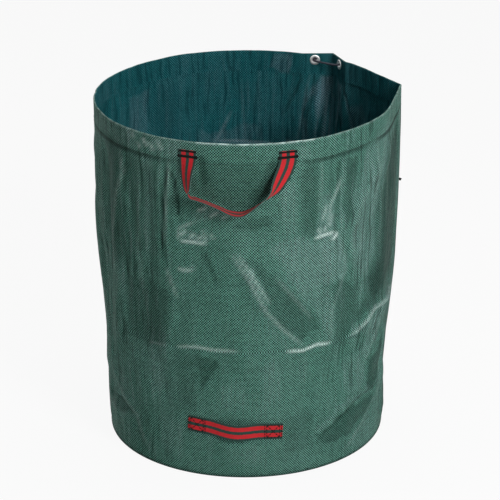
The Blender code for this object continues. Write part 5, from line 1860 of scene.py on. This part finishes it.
def pale_floor_material():
    """A plain pale floor that shows the bag's soft shadow."""
    material, tree, shader = new_material("pale_floor")
    if tree is None:
        return material
    feed_all(tree, shader, Base_Color=(0.86, 0.86, 0.86), Roughness=0.9)
    glow = feed_all(tree, tree.nodes.new("ShaderNodeEmission"), Color=WHITE, Strength=1.0)
    path = tree.nodes.new("ShaderNodeLightPath")
    seen = maths(tree, "MAXIMUM", path.outputs["Is Camera Ray"], path.outputs["Is Glossy Ray"])
    mixed = tree.nodes.new("ShaderNodeMixShader")
    feed(tree, mixed.inputs[0], times(tree, seen, 0.92))
    tree.links.new(shader.outputs[0], mixed.inputs[1])
    tree.links.new(glow.outputs[0], mixed.inputs[2])
    tree.links.new(mixed.outputs[0], tree.nodes["Material Output"].inputs["Surface"])
    return material


def add_lamp(name, place, size, power):
    """A large soft area lamp that points at the middle of the bag."""
    deselect_all()
    bpy.ops.object.light_add(type="AREA", location=place)
    lamp = bpy.context.object
    lamp.name = name
    lamp.data.shape = "SQUARE"
    lamp.data.size = size
    lamp.data.energy = power
    lamp.rotation_euler = (LAMP_TARGET - Vector(place)).to_track_quat("-Z", "Y").to_euler()


def add_camera(sizes):
    """The camera, turned as the settings say."""
    bpy.ops.object.camera_add(location=sizes.camera_place)
    camera = bpy.context.object
    yaw, pitch, roll = sizes.camera_yaw, sizes.camera_pitch, sizes.camera_roll
    level = Vector((-math.sin(yaw), math.cos(yaw), 0.0))
    right = Vector((math.cos(yaw), math.sin(yaw), 0.0))
    ahead = level * math.cos(pitch) - UP * math.sin(pitch)
    above = level * math.sin(pitch) + UP * math.cos(pitch)
    turned_right = right * math.cos(roll) + above * math.sin(roll)
    turned_up = above * math.cos(roll) - right * math.sin(roll)
    turn = Matrix((turned_right, turned_up, -ahead)).transposed()
    camera.rotation_euler = turn.to_euler()
    camera.data.lens = sizes.lens
    camera.data.sensor_width = 36.0
    camera.data.clip_end = 100.0
    bpy.context.scene.camera = camera


# Operators

class LEAFBAG_OT_wall(Operator):
    """Model the bag's folded wall"""

    bl_idname = "leaf_bag.wall"
    bl_label = "Wall"

    def execute(self, context):
        make_wall()
        return {"FINISHED"}


class LEAFBAG_OT_hem(Operator):
    """Model the hem round the mouth and its stiffening strip"""

    bl_idname = "leaf_bag.hem"
    bl_label = "Hem"

    def execute(self, context):
        make_hem()
        return {"FINISHED"}


class LEAFBAG_OT_base(Operator):
    """Model the two round panels of the base"""

    bl_idname = "leaf_bag.base"
    bl_label = "Base"

    def execute(self, context):
        make_base()
        return {"FINISHED"}


class LEAFBAG_OT_stitching(Operator):
    """Sew the rows of stitches round the hem and the base"""

    bl_idname = "leaf_bag.stitching"
    bl_label = "Stitching"

    def execute(self, context):
        make_stitching()
        return {"FINISHED"}


class LEAFBAG_OT_side_seam(Operator):
    """Sew the side seam and tie off its thread"""

    bl_idname = "leaf_bag.side_seam"
    bl_label = "Side seam"

    def execute(self, context):
        make_side_seam()
        return {"FINISHED"}


class LEAFBAG_OT_eyelets(Operator):
    """Turn the two eyelets and their washers"""

    bl_idname = "leaf_bag.eyelets"
    bl_label = "Eyelets"

    def execute(self, context):
        make_eyelets()
        return {"FINISHED"}


class LEAFBAG_OT_tie_cord(Operator):
    """Braid the tie cord and tie its knots"""

    bl_idname = "leaf_bag.tie_cord"
    bl_label = "Tie cord"

    def execute(self, context):
        make_tie_cord()
        return {"FINISHED"}


class LEAFBAG_OT_top_handles(Operator):
    """Hang the two top handles and sew their tabs"""

    bl_idname = "leaf_bag.top_handles"
    bl_label = "Top handles"

    def execute(self, context):
        make_top_handles()
        return {"FINISHED"}


class LEAFBAG_OT_tipping_handle(Operator):
    """Sew the tipping handle low on the front"""

    bl_idname = "leaf_bag.tipping_handle"
    bl_label = "Tipping handle"

    def execute(self, context):
        make_tipping_handle()
        return {"FINISHED"}


class LEAFBAG_OT_stage(Operator):
    """Set the floor, the lamps and the camera"""

    bl_idname = "leaf_bag.stage"
    bl_label = "Stage"

    def execute(self, context):
        sizes = context.scene.leaf_bag_stage
        deselect_all()
        bpy.ops.mesh.primitive_plane_add(size=40.0, location=(0.0, 0.0, -0.0002))
        floor = context.object
        floor.name = "pale_floor"
        floor.data.materials.append(pale_floor_material())
        add_lamp("key_lamp", (2.15, -3.35, 2.6), 1.2, sizes.key)
        add_lamp("fill_lamp", (-3.4, -2.2, 1.7), 2.4, sizes.fill)
        add_lamp("top_lamp", (0.2, 0.6, 3.6), 2.4, sizes.top)
        add_camera(sizes)
        world = bpy.data.worlds.new("even_room")
        context.scene.world = world
        world.use_nodes = True
        tree = world.node_tree
        path = tree.nodes.new("ShaderNodeLightPath")
        seen = maths(tree, "MAXIMUM", path.outputs["Is Camera Ray"], path.outputs["Is Transmission Ray"])
        seen = maths(tree, "MAXIMUM", seen, path.outputs["Is Glossy Ray"])
        strength = remap(tree, seen, 0.0, 1.0, sizes.room, 1.0)
        feed_all(tree, tree.nodes["Background"], Color=WHITE, Strength=strength)
        context.scene.view_settings.view_transform = "Standard"
        return {"FINISHED"}


OPERATORS = (
    LEAFBAG_OT_wall,
    LEAFBAG_OT_hem,
    LEAFBAG_OT_base,
    LEAFBAG_OT_stitching,
    LEAFBAG_OT_side_seam,
    LEAFBAG_OT_eyelets,
    LEAFBAG_OT_tie_cord,
    LEAFBAG_OT_top_handles,
    LEAFBAG_OT_tipping_handle,
    LEAFBAG_OT_stage,
)


class LEAFBAG_PT_panel(Panel):
    """Lists the bag's settings and the steps that make it."""

    bl_idname = "LEAFBAG_PT_panel"
    bl_label = "Leaf Bag"
    bl_space_type = "VIEW_3D"
    bl_region_type = "UI"
    bl_category = "Leaf Bag"

    def draw(self, context):
        layout = self.layout
        for name, group in SETTINGS:
            box = layout.box()
            box.label(text=group.__doc__.rstrip("."))
            for field in group.__annotations__:
                box.prop(getattr(context.scene, name), field)
        for operator in OPERATORS:
            layout.operator(operator.bl_idname)


def register():
    """Register the settings, the operators and the panel."""
    for name, group in SETTINGS:
        bpy.utils.register_class(group)
        setattr(bpy.types.Scene, name, PointerProperty(type=group))
    for item in (*OPERATORS, LEAFBAG_PT_panel):
        bpy.utils.register_class(item)


def unregister():
    """Take away the panel, the operators and the settings."""
    for item in (LEAFBAG_PT_panel, *reversed(OPERATORS)):
        bpy.utils.unregister_class(item)
    for name, group in reversed(SETTINGS):
        delattr(bpy.types.Scene, name)
        bpy.utils.unregister_class(group)


def main():
    """Make the whole bag and its stage."""
    register()
    for operator in OPERATORS:
        step = getattr(bpy.ops.leaf_bag, operator.bl_idname.split(".")[1])
        if step() != {"FINISHED"}:
            raise RuntimeError(f"{operator.bl_label} didn't finish")


if __name__ == "__main__":
    main()
